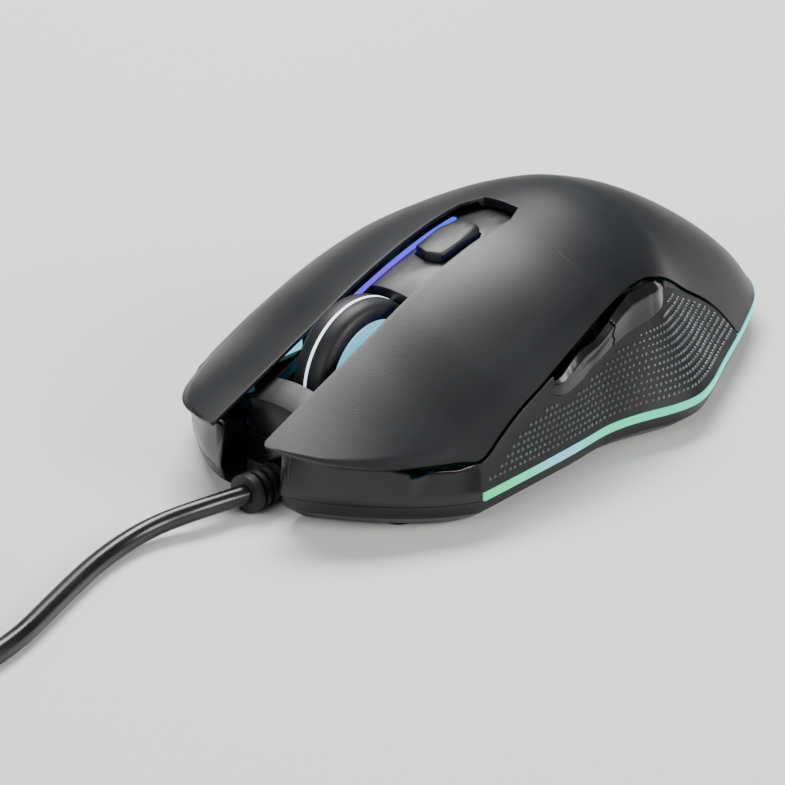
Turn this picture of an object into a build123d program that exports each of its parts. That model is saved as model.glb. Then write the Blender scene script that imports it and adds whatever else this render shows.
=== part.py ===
from build123d import *
import os
from math import pi, radians, sqrt, tan

# A wired optical gaming mouse for the right hand, in millimetres.
# X points to the thumb side, -Y to the cable, +Z up. z = 0 is the desk under the glide feet,
# and x = y = 0 is the middle of the body.

os.makedirs("parts", exist_ok=True)

# ---------------------------------------------------------------- driving dimensions
TIP = -61.7             # front tip of the two main keys
TAIL = 61.7             # rear end of the body
BASE_BOTTOM = 0.8       # underside of the base tray, held up by the glide feet
BASE_FLOOR = 2.4        # inner floor of the base tray
STRIP_BOTTOM = 5.1      # base tray below, light strip above
STRIP_TOP = 6.5         # light strip below, side panels and cover above
LOFT_TOP = 36.0         # height that the leaning side walls are drawn up to
BODY_FRONT = -39.6      # corner where the front bumper hands over to the side panels
SKIN = 1.8              # wall of the keys, the cover and the side panels
GAP = 0.25              # shut line beside a piece that moves
KEY_TRAVEL = 0.9        # how far the front of a main key goes down
BUTTON_TRAVEL = 0.5     # how far a thumb button goes in
SEAM = 0.05             # shut line between two fixed mouldings

CHANNEL = 5.4           # half width of the channel between the keys
CHANNEL_DEPTH = 1.8     # console surface below the key surface
CHANNEL_BEND = -3.3     # here the channel starts to narrow ...
CHANNEL_END = 0.7       # ... and here it ends
CHANNEL_END_HALF = 3.7
KEY_ROOT = CHANNEL_BEND  # line about which the keys flex
COVER_WALL_FRONT = 30.0  # behind this line the palm cover has side walls of its own

WHEEL_Y, WHEEL_Z, WHEEL_R = -34.3, 15.6, 12.55
WHEEL_HALF = 3.4        # half width of the tyre
AXLE_R = 1.5
SLOT_FRONT, SLOT_REAR, SLOT_HALF = -48.5, -26.6, 4.2
BRIDGE_FRONT = -53.2    # front face of the console's bridge

PCB_BOTTOM, PCB_TOP = 4.4, 5.6
CABLE_D = 3.2

# Crest of the body along the middle line: (place along Y, height).
CREST = [(-66, 12.6), (-61.7, 14.8), (-56.6, 17.1), (-50, 19.9), (-44, 22.4), (-39, 24.4), (-29, 28.6),
         (-18, 32.1), (-8, 34.2), (4, 34.95), (12, 34.9), (20, 33.6), (30, 29.9), (40, 24.5), (50, 17.9),
         (58, 11.3), (61.7, 8.2), (66, 5.0)]
# How far the surface has fallen 30 mm out from the middle, and how late it falls.
FALL = [(-66, 8), (-48, 13), (-29, 13.3), (-14, 12.8), (0, 12.9), (10, 14.6), (20, 18.5), (30, 22.5),
        (40, 24.5), (50, 24.5), (66, 24)]
ROUND = [(-66, 1.8), (-20, 1.75), (10, 1.9), (35, 2.15), (66, 2.15)]
# Lean of the side walls: how far they move in for each millimetre up.
LEAN = [(-66, 0.12), (-44, 0.2), (-40, 0.32), (-28, 0.25), (-14, 0.21), (-6, 0.27), (4, 0.48), (12, 0.58),
        (20, 0.6), (40, 0.6), (66, 0.4)]

# Half outline of the body at the light strip, from the nose to the tail: (x, y).
NOSE = [(7.5, -58.9), (13, -56.8), (18.4, -53.5), (22.6, -50.2), (26.5, -46.4), (29, -43.2), (31, BODY_FRONT)]
FLANK = [(31, BODY_FRONT), (31.15, -27), (31, -15), (30.8, -7.5), (32.1, -1), (34.2, 5.6), (34.8, 11),
         (33.3, 17), (29.9, 25), (24.4, 38.2), (20.6, 46.4), (17.5, 52), (12.3, 57.6), (6, 60.9), (0, TAIL)]
NOTCH_HALF, NOTCH_Y = 6.5, -53.5   # recess in the nose round the cable's strain relief

# Edge of the top skin, seen from above: front of a key, then back along the side.
KEY_NOSE = [(6.2, TIP + 0.1), (10.6, -60.5), (16.2, -57.8), (21.2, -52.8), (25.1, -46.5), (27.9, -41.4),
            (29.5, -38.5)]
SKIN_EDGE = [(29.5, -38.5), (29.2, -33.6), (28.8, -28.4), (28.6, -22.6), (28.1, -16.7), (27.4, -10.8),
             (26.3, -4), (25, 3), (24.4, 8.1), (24.1, 12.7), (23.2, 20.6), (22.9, 27.2), (23.2, 31),
             (24.6, 34.6), (28, 38.5), (34, 42)]

# Smaller pieces
RING_HALF = 0.55        # half width of the wheel's light ring
TYRE_BORE = 9.6
YOKE_IN, YOKE_OUT = 4.0, 5.6
YOKE_Z, YOKE_PIVOT_Y = 12.0, -18.5
ENCODER_DEPTH = 3.4
KEY_SWITCH_X, KEY_SWITCH_Y, SWITCH_TOP = 14.0, -46.0, 12.75
CLICK_X, CLICK_Y, CLICK_TOP = 10.0, -31.5, 11.3
DPI_FRONT, DPI_REAR, DPI_HALF, DPI_PROUD = -18.4, -7.6, 2.9, 1.3
DPI_MID, DPI_BOARD_Z = -12.5, 23.6
GUIDE_FRONT, GUIDE_REAR = -41.0, -5.5
BUTTON_PROUD, BUTTON_DEPTH = 0.7, 1.4
THUMB_BOARD_X, THUMB_BOARD_TOP, THUMB_PLUNGER_X = 17.5, 23.6, 22.0
THUMB_SWITCHES = [(-13.0, 18.3), (5.0, 20.9)]   # (Y, Z) of the forward and the back switch
COVER_SCREWS = [(-15, 40), (15, 40), (-13, 24), (13, 24)]
BOARD_POSTS = [(-16, -34), (16, -33), (-16, 11), (12, 11)]
BOSS_TOP, SCREW_SEAT = 9.0, 2.0
SENSOR_Y = 2.0
SOCKET_X, SOCKET_Y = -7.8, -45.0
FEET = [(-14.5, -42, 38, 15, 5), (14.5, -42, -38, 15, 5), (0, 50, 0, 20, 6)]  # x, y, turn, length, width
FOOT_POCKET = 1.0       # ceiling of the pockets that the glide feet are glued into
NOSE_TOP = 10.3         # top of the wall round the cable notch
NOSE_FOOT = NOSE_TOP + 0.1
NOSE_DROP = 0.8         # the nose wall ends this far below the key surface

# Cable
RELIEF_R, RELIEF_NECK_R, RELIEF_Z = 3.2, 2.0, 3.4
EXIT = (0, -60.3, RELIEF_Z)
COIL_CENTRE = (-16.5, -141.0)
COIL_OUTER, COIL_INNER, COIL_HEIGHT, COIL_LAST_R = 26.9, 13.4, 13.1, 25.1
PLUG_REAR = COIL_CENTRE[1] + 17
ROUTE = [EXIT, (-1.4, -67.5, 3.6), (-4.8, -76.5, 2.3), (-3.7, -87.5, 1.65), (0.7, -99.5, 1.65),
         (5.8, -112.5, 1.65), (6.6, -127, 1.65), (4.9, -141, 1.65)]

# Thumb buttons seen from the side: (place along Y, height).
BUTTON_TOP = [(-21.4, 18.6), (-14.5, 20.8), (-7.8, 22.6), (0.9, 24.8), (5.6, 25.2), (10.8, 24.5), (14.5, 23)]
BUTTON_LOW = [(14.5, 23), (13.4, 21.9), (10.9, 20.8), (8, 20.2), (3.8, 19.6), (-0.2, 19.2), (-4.3, 18.4),
              (-7.4, 17.4), (-12.9, 16.1), (-17.4, 15.2), (-20, 15.6), (-21.4, 18.6)]
BUTTON_SPLIT = [(-6.2, 24.6), (-4.6, 23), (-3.8, 21.8), (-4.2, 20.3), (-3.8, 19.4), (-4.6, 17.4)]


# ---------------------------------------------------------------- curves and surfaces
def smooth(knots, y):
    """Value at y of the smooth curve through (place, value) knots."""
    last = len(knots) - 1
    i = max(k for k in range(last) if k == 0 or knots[k][0] <= y)

    def slope(k):
        a, b = knots[max(k - 1, 0)], knots[min(k + 1, last)]
        return (b[1] - a[1]) / (b[0] - a[0])

    (y0, v0), (y1, v1) = knots[i], knots[i + 1]
    span = y1 - y0
    t = min(max((y - y0) / span, 0), 1)
    rise = span * ((t - 2) * t + 1) * t * slope(i) + span * (t - 1) * t * t * slope(i + 1)
    return (2 * t - 3) * t * t * (v0 - v1) + v0 + rise


def top_height(x, y):
    """Height of the mouse's upper surface."""
    return smooth(CREST, y) - smooth(FALL, y) * (abs(x) / 30) ** smooth(ROUND, y)


def under_top(x, y, depth):
    """Height of a surface that lies depth below the upper surface, measured square to it."""
    step = 0.5
    slope_x = (top_height(x + step, y) - top_height(x - step, y)) / (2 * step)
    slope_y = (top_height(x, y + step) - top_height(x, y - step)) / (2 * step)
    return top_height(x, y) - depth * sqrt(1 + slope_x ** 2 + slope_y ** 2)


def below(depth, half=37, front=-64.5, rear=64):
    """Everything under the surface that lies depth below the upper surface."""
    columns = [half * (i / 10) for i in range(-10, 11)]
    rows = [front + (rear - front) * i / 30 for i in range(31)]
    grid = [[Vector(x, y, under_top(x, y, depth)) for y in rows] for x in columns]
    skin = Face.make_surface_from_array_of_points(grid, tol=0.01, min_deg=3, max_deg=5)
    return Solid.extrude(skin, Vector(0, 0, -80))


def moved_in(points, distance):
    """The points of an open outline, each moved inwards (to its left) by its own distance."""
    moved = []
    for i, (x, y) in enumerate(points):
        ax, ay = points[max(i - 1, 0)]
        bx, by = points[min(i + 1, len(points) - 1)]
        length = sqrt((bx - ax) ** 2 + (by - ay) ** 2)
        far = distance(y) if callable(distance) else distance
        moved.append((x - far * (by - ay) / length, y + far * (bx - ax) / length))
    return moved


def body_wire(height, inset=0.0, flat=False):
    """Closed outline of the body at a height: nose, flanks and tail, leaning in above the strip."""
    rise = 0 if flat else max(height - STRIP_TOP, 0)

    def inward(y):
        return inset + rise * smooth(LEAN, y)

    nose = moved_in(NOSE, inward)
    flank = moved_in(FLANK, inward)
    flank[-1] = (0, TAIL - inward(TAIL))
    flank[0] = nose[-1] = (NOSE[-1][0] - inward(BODY_FRONT), BODY_FRONT + inward(BODY_FRONT) * 0.5)
    nose_half = NOTCH_HALF + 0.6 + inset * 0.5
    nose[0] = (nose_half, NOSE[0][1] + inward(NOSE[0][1]))
    mirrored_flank = [(-x, y) for x, y in reversed(flank)]
    mirrored_nose = [(-x, y) for x, y in reversed(nose)]
    edges = [Spline(*nose), Spline(*(flank + mirrored_flank[1:])), Spline(*mirrored_nose),
             Line((-nose_half, nose[0][1]), (nose_half, nose[0][1]))]
    return Pos(0, 0, height) * Wire(edges)


def body_column(inset=0.0, bottom=STRIP_TOP, top=LOFT_TOP):
    """The body between its leaning side walls, from bottom to top, with no roof."""
    return Solid.make_loft([body_wire(bottom, inset), body_wire(top, inset)], ruled=True)


def upright(edges, low, high):
    """A straight-sided solid on a closed plan outline."""
    return Pos(0, 0, low) * extrude(make_face(edges), amount=high - low)


def block(x0, x1, y0, y1, z0, z1):
    return Pos((x0 + x1) / 2, (y0 + y1) / 2, (z0 + z1) / 2) * Box(x1 - x0, y1 - y0, z1 - z0)


def pin_x(x0, x1, y, z, radius):
    """A cylinder along X."""
    return Pos((x0 + x1) / 2, y, z) * Rot(0, 90, 0) * Cylinder(radius, x1 - x0)


def post(x, y, z0, z1, radius):
    return Pos(x, y, (z0 + z1) / 2) * Cylinder(radius, z1 - z0)


def skin_plan(offset=0.0):
    """Plan outline of the top skin on the thumb side, out to the tail, as a closed face."""
    nose = moved_in(KEY_NOSE, -offset)
    side = moved_in(SKIN_EDGE, -offset)
    nose[-1] = side[0]
    start = (CHANNEL - 0.9, nose[0][1] + 1.2)
    edges = [Spline(start, nose[0], tangents=[(0.2, -1), (1, 0.1)]), Spline(*nose), Spline(*side)]
    edges += [Polyline(side[-1], (45, 45), (45, 70), (-1, 70), (-1, start[1]), start)]
    return edges


# ---------------------------------------------------------------- shared bodies
UNDER_TOP = below(0)
UNDER_SKIN = below(SKIN)
UNDER_CONSOLE = below(CHANNEL_DEPTH + 0.1)
OUTER = body_column() & UNDER_TOP
INNER = body_column(SKIN, STRIP_TOP - 1) & UNDER_SKIN
SKIN_SHEET = UNDER_TOP - UNDER_SKIN
SKIN_COLUMN = upright(skin_plan(), 2, 45)
AHEAD = block(-45, 45, -70, COVER_WALL_FRONT, 0, 45)
UNDER_TRAVEL = below(SKIN + KEY_TRAVEL) & AHEAD
PANEL_KEEP_OUT = upright(skin_plan(GAP), 2, 45) - UNDER_TRAVEL
BUTTON_KEEP_OUT = upright(skin_plan(2 * GAP + BUTTON_TRAVEL), 2, 45) - UNDER_TRAVEL


def export(name, *solids):
    """Write the solids of one node to its STEP file."""
    flat = []
    for solid in solids:
        flat += solid.solids() if hasattr(solid, "solids") else list(solid)
    export_step(Compound(children=flat) if len(flat) > 1 else flat[0], f"parts/{name}.step")
    print(f"{name}: {len(flat)} solid(s), {sum(s.volume for s in flat):.1f} mm3")


# ---------------------------------------------------------------- covers
def channel_plan(offset):
    """Plan outline of the narrowing rear end of the channel."""
    half, end_half = CHANNEL + offset, CHANNEL_END_HALF + offset
    end = CHANNEL_END + offset
    return Polyline((-half, -20), (half, -20), (half, CHANNEL_BEND), (end_half, end), (-end_half, end),
                    (-half, CHANNEL_BEND), close=True)


def main_key():
    """The thumb-side key: a thin blade that overhangs the nose, with a rib that reaches its switch."""
    clip = block(CHANNEL, 45, TIP - 1, KEY_ROOT, 0, 45)
    blade = SKIN_SHEET & SKIN_COLUMN & clip
    rib_low = SWITCH_TOP + 0.05
    rib = block(KEY_SWITCH_X - 1.5, KEY_SWITCH_X + 1.5, KEY_SWITCH_Y - 1.2, KEY_SWITCH_Y + 1.2, rib_low, 30)
    return blade + (rib & below(SKIN - 0.4))


def top_cover():
    """Palm cover: the crest behind the keys, down to the light strip round the tail."""
    clip = block(-45, 45, KEY_ROOT + 0.1, 70, STRIP_TOP + SEAM, 45)
    plan = SKIN_COLUMN + mirror(SKIN_COLUMN, Plane.YZ)
    cover = ((OUTER - INNER) & plan & clip) - (below(SKIN + KEY_TRAVEL - SEAM) & AHEAD)
    cover -= upright(channel_plan(SEAM), 10, 45)
    for x, y in COVER_SCREWS:
        boss = post(x, y, BOSS_TOP, 30, 2.6) & below(SKIN - 0.4)
        cover = cover + boss - post(x, y, BOSS_TOP - 1, BOSS_TOP + 6, 0.85)
    return cover


def side_panel():
    """Thumb-side grip panel: the leaning wall between the light strip and the edge of the top skin."""
    clip = block(5, 45, BODY_FRONT + 0.3, 60, STRIP_TOP + SEAM, 45)
    return ((OUTER - INNER) & clip) - PANEL_KEEP_OUT


def sideways(edges):
    """A solid that runs out along +X on a closed outline of (Y, Z) edges, from x = 15."""
    plane = Plane(origin=(15, 0, 0), x_dir=(0, 1, 0), z_dir=(1, 0, 0))
    return extrude(make_face([plane * edge for edge in edges]), amount=30, dir=(1, 0, 0))


def split_wall(width):
    """A thin S-shaped wall between the forward and the back button."""
    left = [(y - width / 2, z) for y, z in BUTTON_SPLIT]
    right = [(y + width / 2, z) for y, z in reversed(BUTTON_SPLIT)]
    edges = [Spline(*left), Line(left[-1], right[0]), Spline(*right), Line(right[-1], left[0])]
    return sideways(edges)


def thumb_buttons():
    """Forward and back button: caps that stand proud of the panel, each with a stem to its switch."""
    proud = body_column(-BUTTON_PROUD) & below(-0.2)
    hollow = body_column(BUTTON_DEPTH) & below(SKIN)
    caps = (proud - hollow) & sideways([Spline(*BUTTON_TOP), Spline(*BUTTON_LOW)])
    caps = caps - BUTTON_KEEP_OUT - split_wall(0.5)
    largest = sorted(caps.solids(), key=lambda s: s.volume)[-2:]
    front, rear = sorted(largest, key=lambda s: s.center().Y)
    return [add_stem(front, THUMB_SWITCHES[0]), add_stem(rear, THUMB_SWITCHES[1])]


def add_stem(cap, place):
    """Join a button to the stem that presses its switch."""
    y, z = place
    stem = block(THUMB_PLUNGER_X + 0.05, 32, y - 1, y + 1, z - 1, z + 1)
    outside = body_column(BUTTON_DEPTH - 0.6) & block(0, 45, -60, 60, 0, 45)
    return cap + (stem & outside)


def nose_body(inset):
    """The nose from the base tray up: upright beside the strip, leaning in above it."""
    low = Solid.make_loft([body_wire(STRIP_BOTTOM + SEAM, inset), body_wire(STRIP_TOP, inset)], ruled=True)
    return low + body_column(inset)


def nose_bumper():
    """Wall under the overhanging keys: follows the nose and runs back round the cable notch."""
    outer = nose_body(0)
    notch = block(-NOTCH_HALF, NOTCH_HALF, -70, NOTCH_Y, 0, 30)
    notch_wall = block(-NOTCH_HALF - 1.8, NOTCH_HALF + 1.8, -70, NOTCH_Y + 1.6, 0, NOSE_TOP) & outer
    wall = (outer - nose_body(2.0)) + notch_wall - notch
    wall = wall & block(-45, 45, -70, BODY_FRONT + 0.1, 0, 30) & below(NOSE_DROP)
    wall = wall - PANEL_KEEP_OUT - mirror(PANEL_KEEP_OUT, Plane.YZ)
    wall -= block(-CHANNEL, CHANNEL, -70, NOTCH_Y + 4, NOSE_TOP, 40)
    return wall - Pos(0, NOTCH_Y, RELIEF_Z) * Rot(90, 0, 0) * Cylinder(RELIEF_NECK_R + 0.02, 8)


def centre_console():
    """Floor of the channel between the keys: bridge, wheel slot, button opening and rear flange."""
    half = CHANNEL - 0.12
    plan = block(-half, half, BRIDGE_FRONT, CHANNEL_BEND, 0, 45)
    plan = plan + (upright(channel_plan(0), 5, 45) & block(-9, 9, CHANNEL_BEND - 1, 10, 0, 45))
    plate = (UNDER_CONSOLE - below(CHANNEL_DEPTH + 1.7)) & plan
    flange_plan = block(-8.5, 8.5, KEY_ROOT + 1.2, 6, 0, 45)
    flange = (below(SKIN + 0.12) - below(CHANNEL_DEPTH + 1.7)) & flange_plan
    bridge = UNDER_CONSOLE & block(-half, half, BRIDGE_FRONT, BRIDGE_FRONT + 1.6, NOSE_FOOT, 45)
    console = plate + flange + bridge
    console -= block(-SLOT_HALF, SLOT_HALF, SLOT_FRONT, SLOT_REAR, 0, 45)
    console -= dpi_column(0.2)
    for side in (-1, 1):
        console -= guide_block(side, 0.02)
        leg = block(side * 6.2 - 1.2, side * 6.2 + 1.2, 1, 4, DPI_BOARD_Z + 1, 40) & below(SKIN + 1.2)
        console += leg
    return console


def guide_block(side, clearance=0.0):
    """One clear bar that lies along the channel's edge, sunk in a rebate of the console."""
    inner, outer = CHANNEL - 1.0 - clearance, CHANNEL - 0.15 + clearance
    low, high = min(side * inner, side * outer), max(side * inner, side * outer)
    bar = block(low, high, GUIDE_FRONT - clearance, GUIDE_REAR + clearance, 0, 45)
    return (below(CHANNEL_DEPTH - 0.3) - below(CHANNEL_DEPTH + 0.6 + clearance)) & bar


def dpi_column(clearance=0.0):
    """The resolution button's straight sides, narrower towards the wheel at its foot."""
    w, c = DPI_HALF + clearance, clearance
    plan = Polyline((-w, DPI_FRONT + 1 - c), (0, DPI_FRONT - c), (w, DPI_FRONT + 1 - c),
                    (w + 0.3, DPI_REAR - 1), (w - 0.4, DPI_REAR + c), (-w + 0.4, DPI_REAR + c),
                    (-w - 0.3, DPI_REAR - 1), close=True)
    return upright([plan], 15, 45)


def dpi_button():
    """Resolution button: flat matte top between two facets that widen to the rear, and a stem."""
    cap = dpi_column() & below(CHANNEL_DEPTH - DPI_PROUD)
    cap -= below(CHANNEL_DEPTH + 1.6)
    middle = top_height(0, DPI_REAR) - CHANNEL_DEPTH + DPI_PROUD
    for side in (-1, 1):
        cutter = Pos(side * 1.6, DPI_REAR, middle) * Rot(0, side * 34, 0) * Rot(0, 0, side * -7)
        cap -= cutter * block(-8 if side < 0 else 0, 0 if side < 0 else 8, -14, 6, 0, 6)
    stem = block(-1, 1, DPI_MID - 1, DPI_MID + 1, DPI_BOARD_Z + 1 + 3.55 + 0.05, 40) & below(CHANNEL_DEPTH + 1)
    return cap + stem


# ---------------------------------------------------------------- base
def base_tray():
    """Bottom tray: undercut walls up to the light strip, screw bosses, board posts and lens hole."""
    foot = body_wire(BASE_BOTTOM, 3.2, True)
    belt = body_wire(2.9, 0.6, True)
    rim = body_wire(STRIP_BOTTOM, 0.0, True)
    whole = Solid.make_loft([foot, belt], ruled=True) + Solid.make_loft([belt, rim], ruled=True)
    tray = whole - Solid.make_loft([body_wire(BASE_FLOOR, 3.4, True), body_wire(9, 3.2, True)], ruled=True)
    notch_wall = block(-NOTCH_HALF - 1.8, NOTCH_HALF + 1.8, -58.5, NOTCH_Y + 1.6, BASE_BOTTOM, STRIP_BOTTOM)
    tray = tray + (notch_wall & whole) - block(-NOTCH_HALF, NOTCH_HALF, -70, NOTCH_Y, 0, 20)
    for x, y in COVER_SCREWS:
        tray += post(x, y, BASE_FLOOR - 0.2, BOSS_TOP - 0.05, 2.6)
        tray -= post(x, y, 0, BOSS_TOP + 1, 1.1) + post(x, y, 0, SCREW_SEAT, 2.1)
    for x, y in BOARD_POSTS:
        tray += post(x, y, BASE_FLOOR - 0.2, PCB_BOTTOM, 2.2)
        tray -= post(x, y, BASE_FLOOR, PCB_BOTTOM + 1, 0.8)
    tray -= post(0, SENSOR_Y, 0, 5, 4.2)
    for skate in skates(0.15):
        tray -= skate & block(-60, 60, -70, 70, 0, FOOT_POCKET)
    tray -= Pos(0, NOTCH_Y, RELIEF_Z) * Rot(90, 0, 0) * Cylinder(RELIEF_NECK_R + 0.02, 8)
    return tray


def skates(grow=0.0):
    """Slippery feet: a pill under each front corner and a broad one under the tail."""
    feet = []
    for x, y, turn, length, width in FEET:
        plan = Pos(x, y, 0) * Rot(0, 0, turn) * SlotOverall(length + 2 * grow, width + 2 * grow)
        feet.append(extrude(plan, amount=FOOT_POCKET - 0.02 + (0.02 if grow else 0)))
    return feet


def light_strip():
    """Clear diffuser band, open at the nose, between the base tray and the covers."""
    ring = Solid.make_loft([body_wire(STRIP_BOTTOM, -0.15, True), body_wire(STRIP_TOP, -0.15, True)], ruled=True)
    ring -= Solid.make_loft([body_wire(STRIP_BOTTOM - 1, 2.2, True), body_wire(9, 2.2, True)], ruled=True)
    return ring & block(-45, 45, BODY_FRONT + 0.3, 70, 0, 20)


# ---------------------------------------------------------------- wheel
def wheel_ring(outer, inner, half):
    return pin_x(-half, half, WHEEL_Y, WHEEL_Z, outer) - pin_x(-half - 1, half + 1, WHEEL_Y, WHEEL_Z, inner)


def wheel_hub():
    """Clear wheel body: rim, web and boss, lit from inside."""
    hub = wheel_ring(TYRE_BORE - 0.02, TYRE_BORE - 1.6, WHEEL_HALF - 0.2)
    hub += wheel_ring(TYRE_BORE - 1, AXLE_R + 0.02, 1.2)
    hub += wheel_ring(3.2, AXLE_R + 0.02, WHEEL_HALF - 0.4)
    return hub


def wheel_tyre():
    """Rubber tyre with rounded shoulders and a groove for the light ring round its crest."""
    tyre = fillet(wheel_ring(WHEEL_R, TYRE_BORE, WHEEL_HALF).edges().filter_by(GeomType.CIRCLE)
                  .sort_by(SortBy.RADIUS)[-2:], 1.3)
    return tyre - wheel_ring(WHEEL_R + 1, WHEEL_R - 1.2, RING_HALF + 0.02)


def wheel_yoke():
    """Cradle that carries the wheel: two arms, a crossbar behind, and a tongue over its switch."""
    yoke = None
    for side in (-1, 1):
        low, high = (YOKE_IN, YOKE_OUT) if side > 0 else (-YOKE_OUT, -YOKE_IN)
        arm = block(low, high, WHEEL_Y - 4, YOKE_PIVOT_Y + 1.6, YOKE_Z - 3.2, YOKE_Z + 3.2)
        arm += block(low, high, WHEEL_Y - 3.2, WHEEL_Y + 3.2, YOKE_Z - 3.2, WHEEL_Z + 3)
        yoke = arm if yoke is None else yoke + arm
    yoke += block(-YOKE_OUT, YOKE_OUT, YOKE_PIVOT_Y - 2, YOKE_PIVOT_Y + 1.6, YOKE_Z - 3.2, YOKE_Z + 1)
    yoke += pin_x(-YOKE_OUT - 2.2, YOKE_OUT + 2.2, YOKE_PIVOT_Y, YOKE_Z, 1.0)
    tongue_low = CLICK_TOP + 0.05
    yoke += block(YOKE_IN, CLICK_X + 2, CLICK_Y - 1.5, CLICK_Y + 1.5, tongue_low, tongue_low + 2)
    yoke -= pin_x(-20, 20, WHEEL_Y, WHEEL_Z, AXLE_R + 0.05)
    return yoke


def yoke_stands():
    """Two posts on the board side of the tray that hold the cradle's pivot pins."""
    stands = []
    for side in (-1, 1):
        low, high = sorted((side * (YOKE_OUT + 0.4), side * (YOKE_OUT + 2.2)))
        stand = block(low, high, YOKE_PIVOT_Y - 2.2, YOKE_PIVOT_Y + 2.2, PCB_TOP, YOKE_Z + 2.4)
        stands.append(stand - pin_x(-20, 20, YOKE_PIVOT_Y, YOKE_Z, 1.05))
    return stands


# ---------------------------------------------------------------- electronics
def micro_switch(x, y, z, length=12.8, width=5.8, height=6.5):
    """Body of a click switch standing at z, with its three legs cut flush."""
    case = block(x - width / 2, x + width / 2, y - length / 2, y + length / 2, z, z + height)
    return chamfer(case.edges().filter_by(Axis.Z), 0.5)


def main_board():
    """Green-black circuit board on the tray's posts, cut away round the wheel and the sensor."""
    board = block(-21, 21, -50.2, 16, PCB_BOTTOM, PCB_TOP)
    board = chamfer(board.edges().filter_by(Axis.Z).group_by(Axis.Y)[0], 5.5)
    board -= block(-4.6, 4.6, -60, -20, 0, 20)
    board -= block(SOCKET_X - 2, 0, -60, SOCKET_Y - 1.5, 0, 20)
    board -= block(-4.2, 4.2, SENSOR_Y - 5.2, SENSOR_Y + 5.2, 0, 20)
    for x, y in BOARD_POSTS:
        board -= post(x, y, 0, 20, 1.1)
    return board


def screws(places, seat, length, head_r, shank_r):
    """Identical cross-head screws, heads down on their seats when the body is upright."""
    group = []
    for x, y in places:
        screw = post(x, y, seat - 1.2, seat, head_r) + post(x, y, seat - 0.1, seat + length, shank_r)
        recess = block(x - 0.9, x + 0.9, y - 0.2, y + 0.2, seat - 2, seat - 0.7)
        recess += block(x - 0.2, x + 0.2, y - 0.9, y + 0.9, seat - 2, seat - 0.7)
        group.append(screw - recess)
    return group


def make_opening():
    """Opening of the thumb panel: the buttons with their shut lines, and the dark slot above them."""
    low = moved_in(BUTTON_LOW, GAP)
    first, last = low[0], low[-1]
    edges = [Spline(*low), Polyline(last, (last[0] - 0.6, 32), (first[0] + 0.2, 32), first)]
    return sideways(edges)


def wheel_axle():
    """Steel axle pressed into the hub, turning in the cradle's arms and the encoder."""
    return pin_x(-YOKE_OUT - ENCODER_DEPTH + 0.8, YOKE_OUT + 0.6, WHEEL_Y, WHEEL_Z, AXLE_R - 0.02)


def wheel_encoder():
    """Rotary encoder clipped to the cradle's far arm."""
    case = block(-YOKE_OUT - ENCODER_DEPTH, -YOKE_OUT - 0.05, WHEEL_Y - 3.6, WHEEL_Y + 3.6, YOKE_Z - 3, WHEEL_Z + 5)
    case = chamfer(case.edges().filter_by(Axis.X), 0.6)
    return case - pin_x(-20, 20, WHEEL_Y, WHEEL_Z, AXLE_R + 0.05)


def export_switches():
    """Each switch is a case with a pocket and a plunger that rides with the piece that presses it."""
    pocket, travel_room = 1.6, 1.0
    for name, sign in (("left", 1), ("right", -1)):
        x = sign * KEY_SWITCH_X
        case = micro_switch(x, KEY_SWITCH_Y + 2.0, PCB_TOP)
        top = PCB_TOP + 6.5
        case -= block(x - 1.5, x + 1.5, KEY_SWITCH_Y - 0.9, KEY_SWITCH_Y + 0.9, top - pocket - travel_room, top + 1)
        export(name + "_switch", case)
        export(name + "_plunger", block(x - 1.35, x + 1.35, KEY_SWITCH_Y - 0.7, KEY_SWITCH_Y + 0.7,
                                        top - pocket, SWITCH_TOP + 0.05))
    case = micro_switch(CLICK_X, CLICK_Y, PCB_TOP, 6, 6, 5)
    case -= post(CLICK_X, CLICK_Y, CLICK_TOP - 3, 20, 1.55)
    export("wheel_click_switch", case)
    export("wheel_click_plunger", post(CLICK_X, CLICK_Y, CLICK_TOP - 2, CLICK_TOP + 0.05, 1.35))
    low = DPI_BOARD_Z + 1
    case = micro_switch(0, DPI_MID, low, 6, 6, 3)
    case -= post(0, DPI_MID, low + 1, 60, 1.55)
    export("dpi_switch", case)
    export("dpi_plunger", post(0, DPI_MID, low + 1.8, low + 3.6, 1.35))
    for name, (y, z) in zip(("forward", "back"), THUMB_SWITCHES):
        case = block(THUMB_BOARD_X, THUMB_PLUNGER_X - 0.8, y - 2.5, y + 2.5, z - 2.5, z + 2.5)
        case -= pin_x(THUMB_BOARD_X + 1, 40, y, z, 1.35)
        export(name + "_switch", case)
        export(name + "_plunger", pin_x(THUMB_BOARD_X + 1.9, THUMB_PLUNGER_X + 0.05, y, z, 1.15))


def thumb_board():
    """Upright daughter board that carries the two thumb switches."""
    return block(THUMB_BOARD_X - 1.2, THUMB_BOARD_X, -20, 12, PCB_TOP, THUMB_BOARD_TOP)


def dpi_board():
    """Small board hung under the console, with the resolution switch on it."""
    return block(-7.6, 7.6, -19, 4.5, DPI_BOARD_Z, DPI_BOARD_Z + 1)


def optical_sensor():
    """Sensor package that looks down through the lens."""
    chip = block(-4, 4, SENSOR_Y - 5, SENSOR_Y + 5, PCB_BOTTOM + 0.35, PCB_TOP + 1.2)
    return chip - post(0, SENSOR_Y, 0, PCB_BOTTOM + 0.7, 1.2)


def sensor_lens():
    """Clear lens block between the tray's window and the sensor."""
    lens = block(-5, 5, SENSOR_Y - 5.6, SENSOR_Y + 5.6, BASE_FLOOR, PCB_BOTTOM - 0.4)
    lens += post(0, SENSOR_Y, BASE_BOTTOM + 0.5, BASE_FLOOR + 0.1, 3.9)
    return lens + post(0, SENSOR_Y, BASE_FLOOR, PCB_BOTTOM + 0.3, 1.1)


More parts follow.
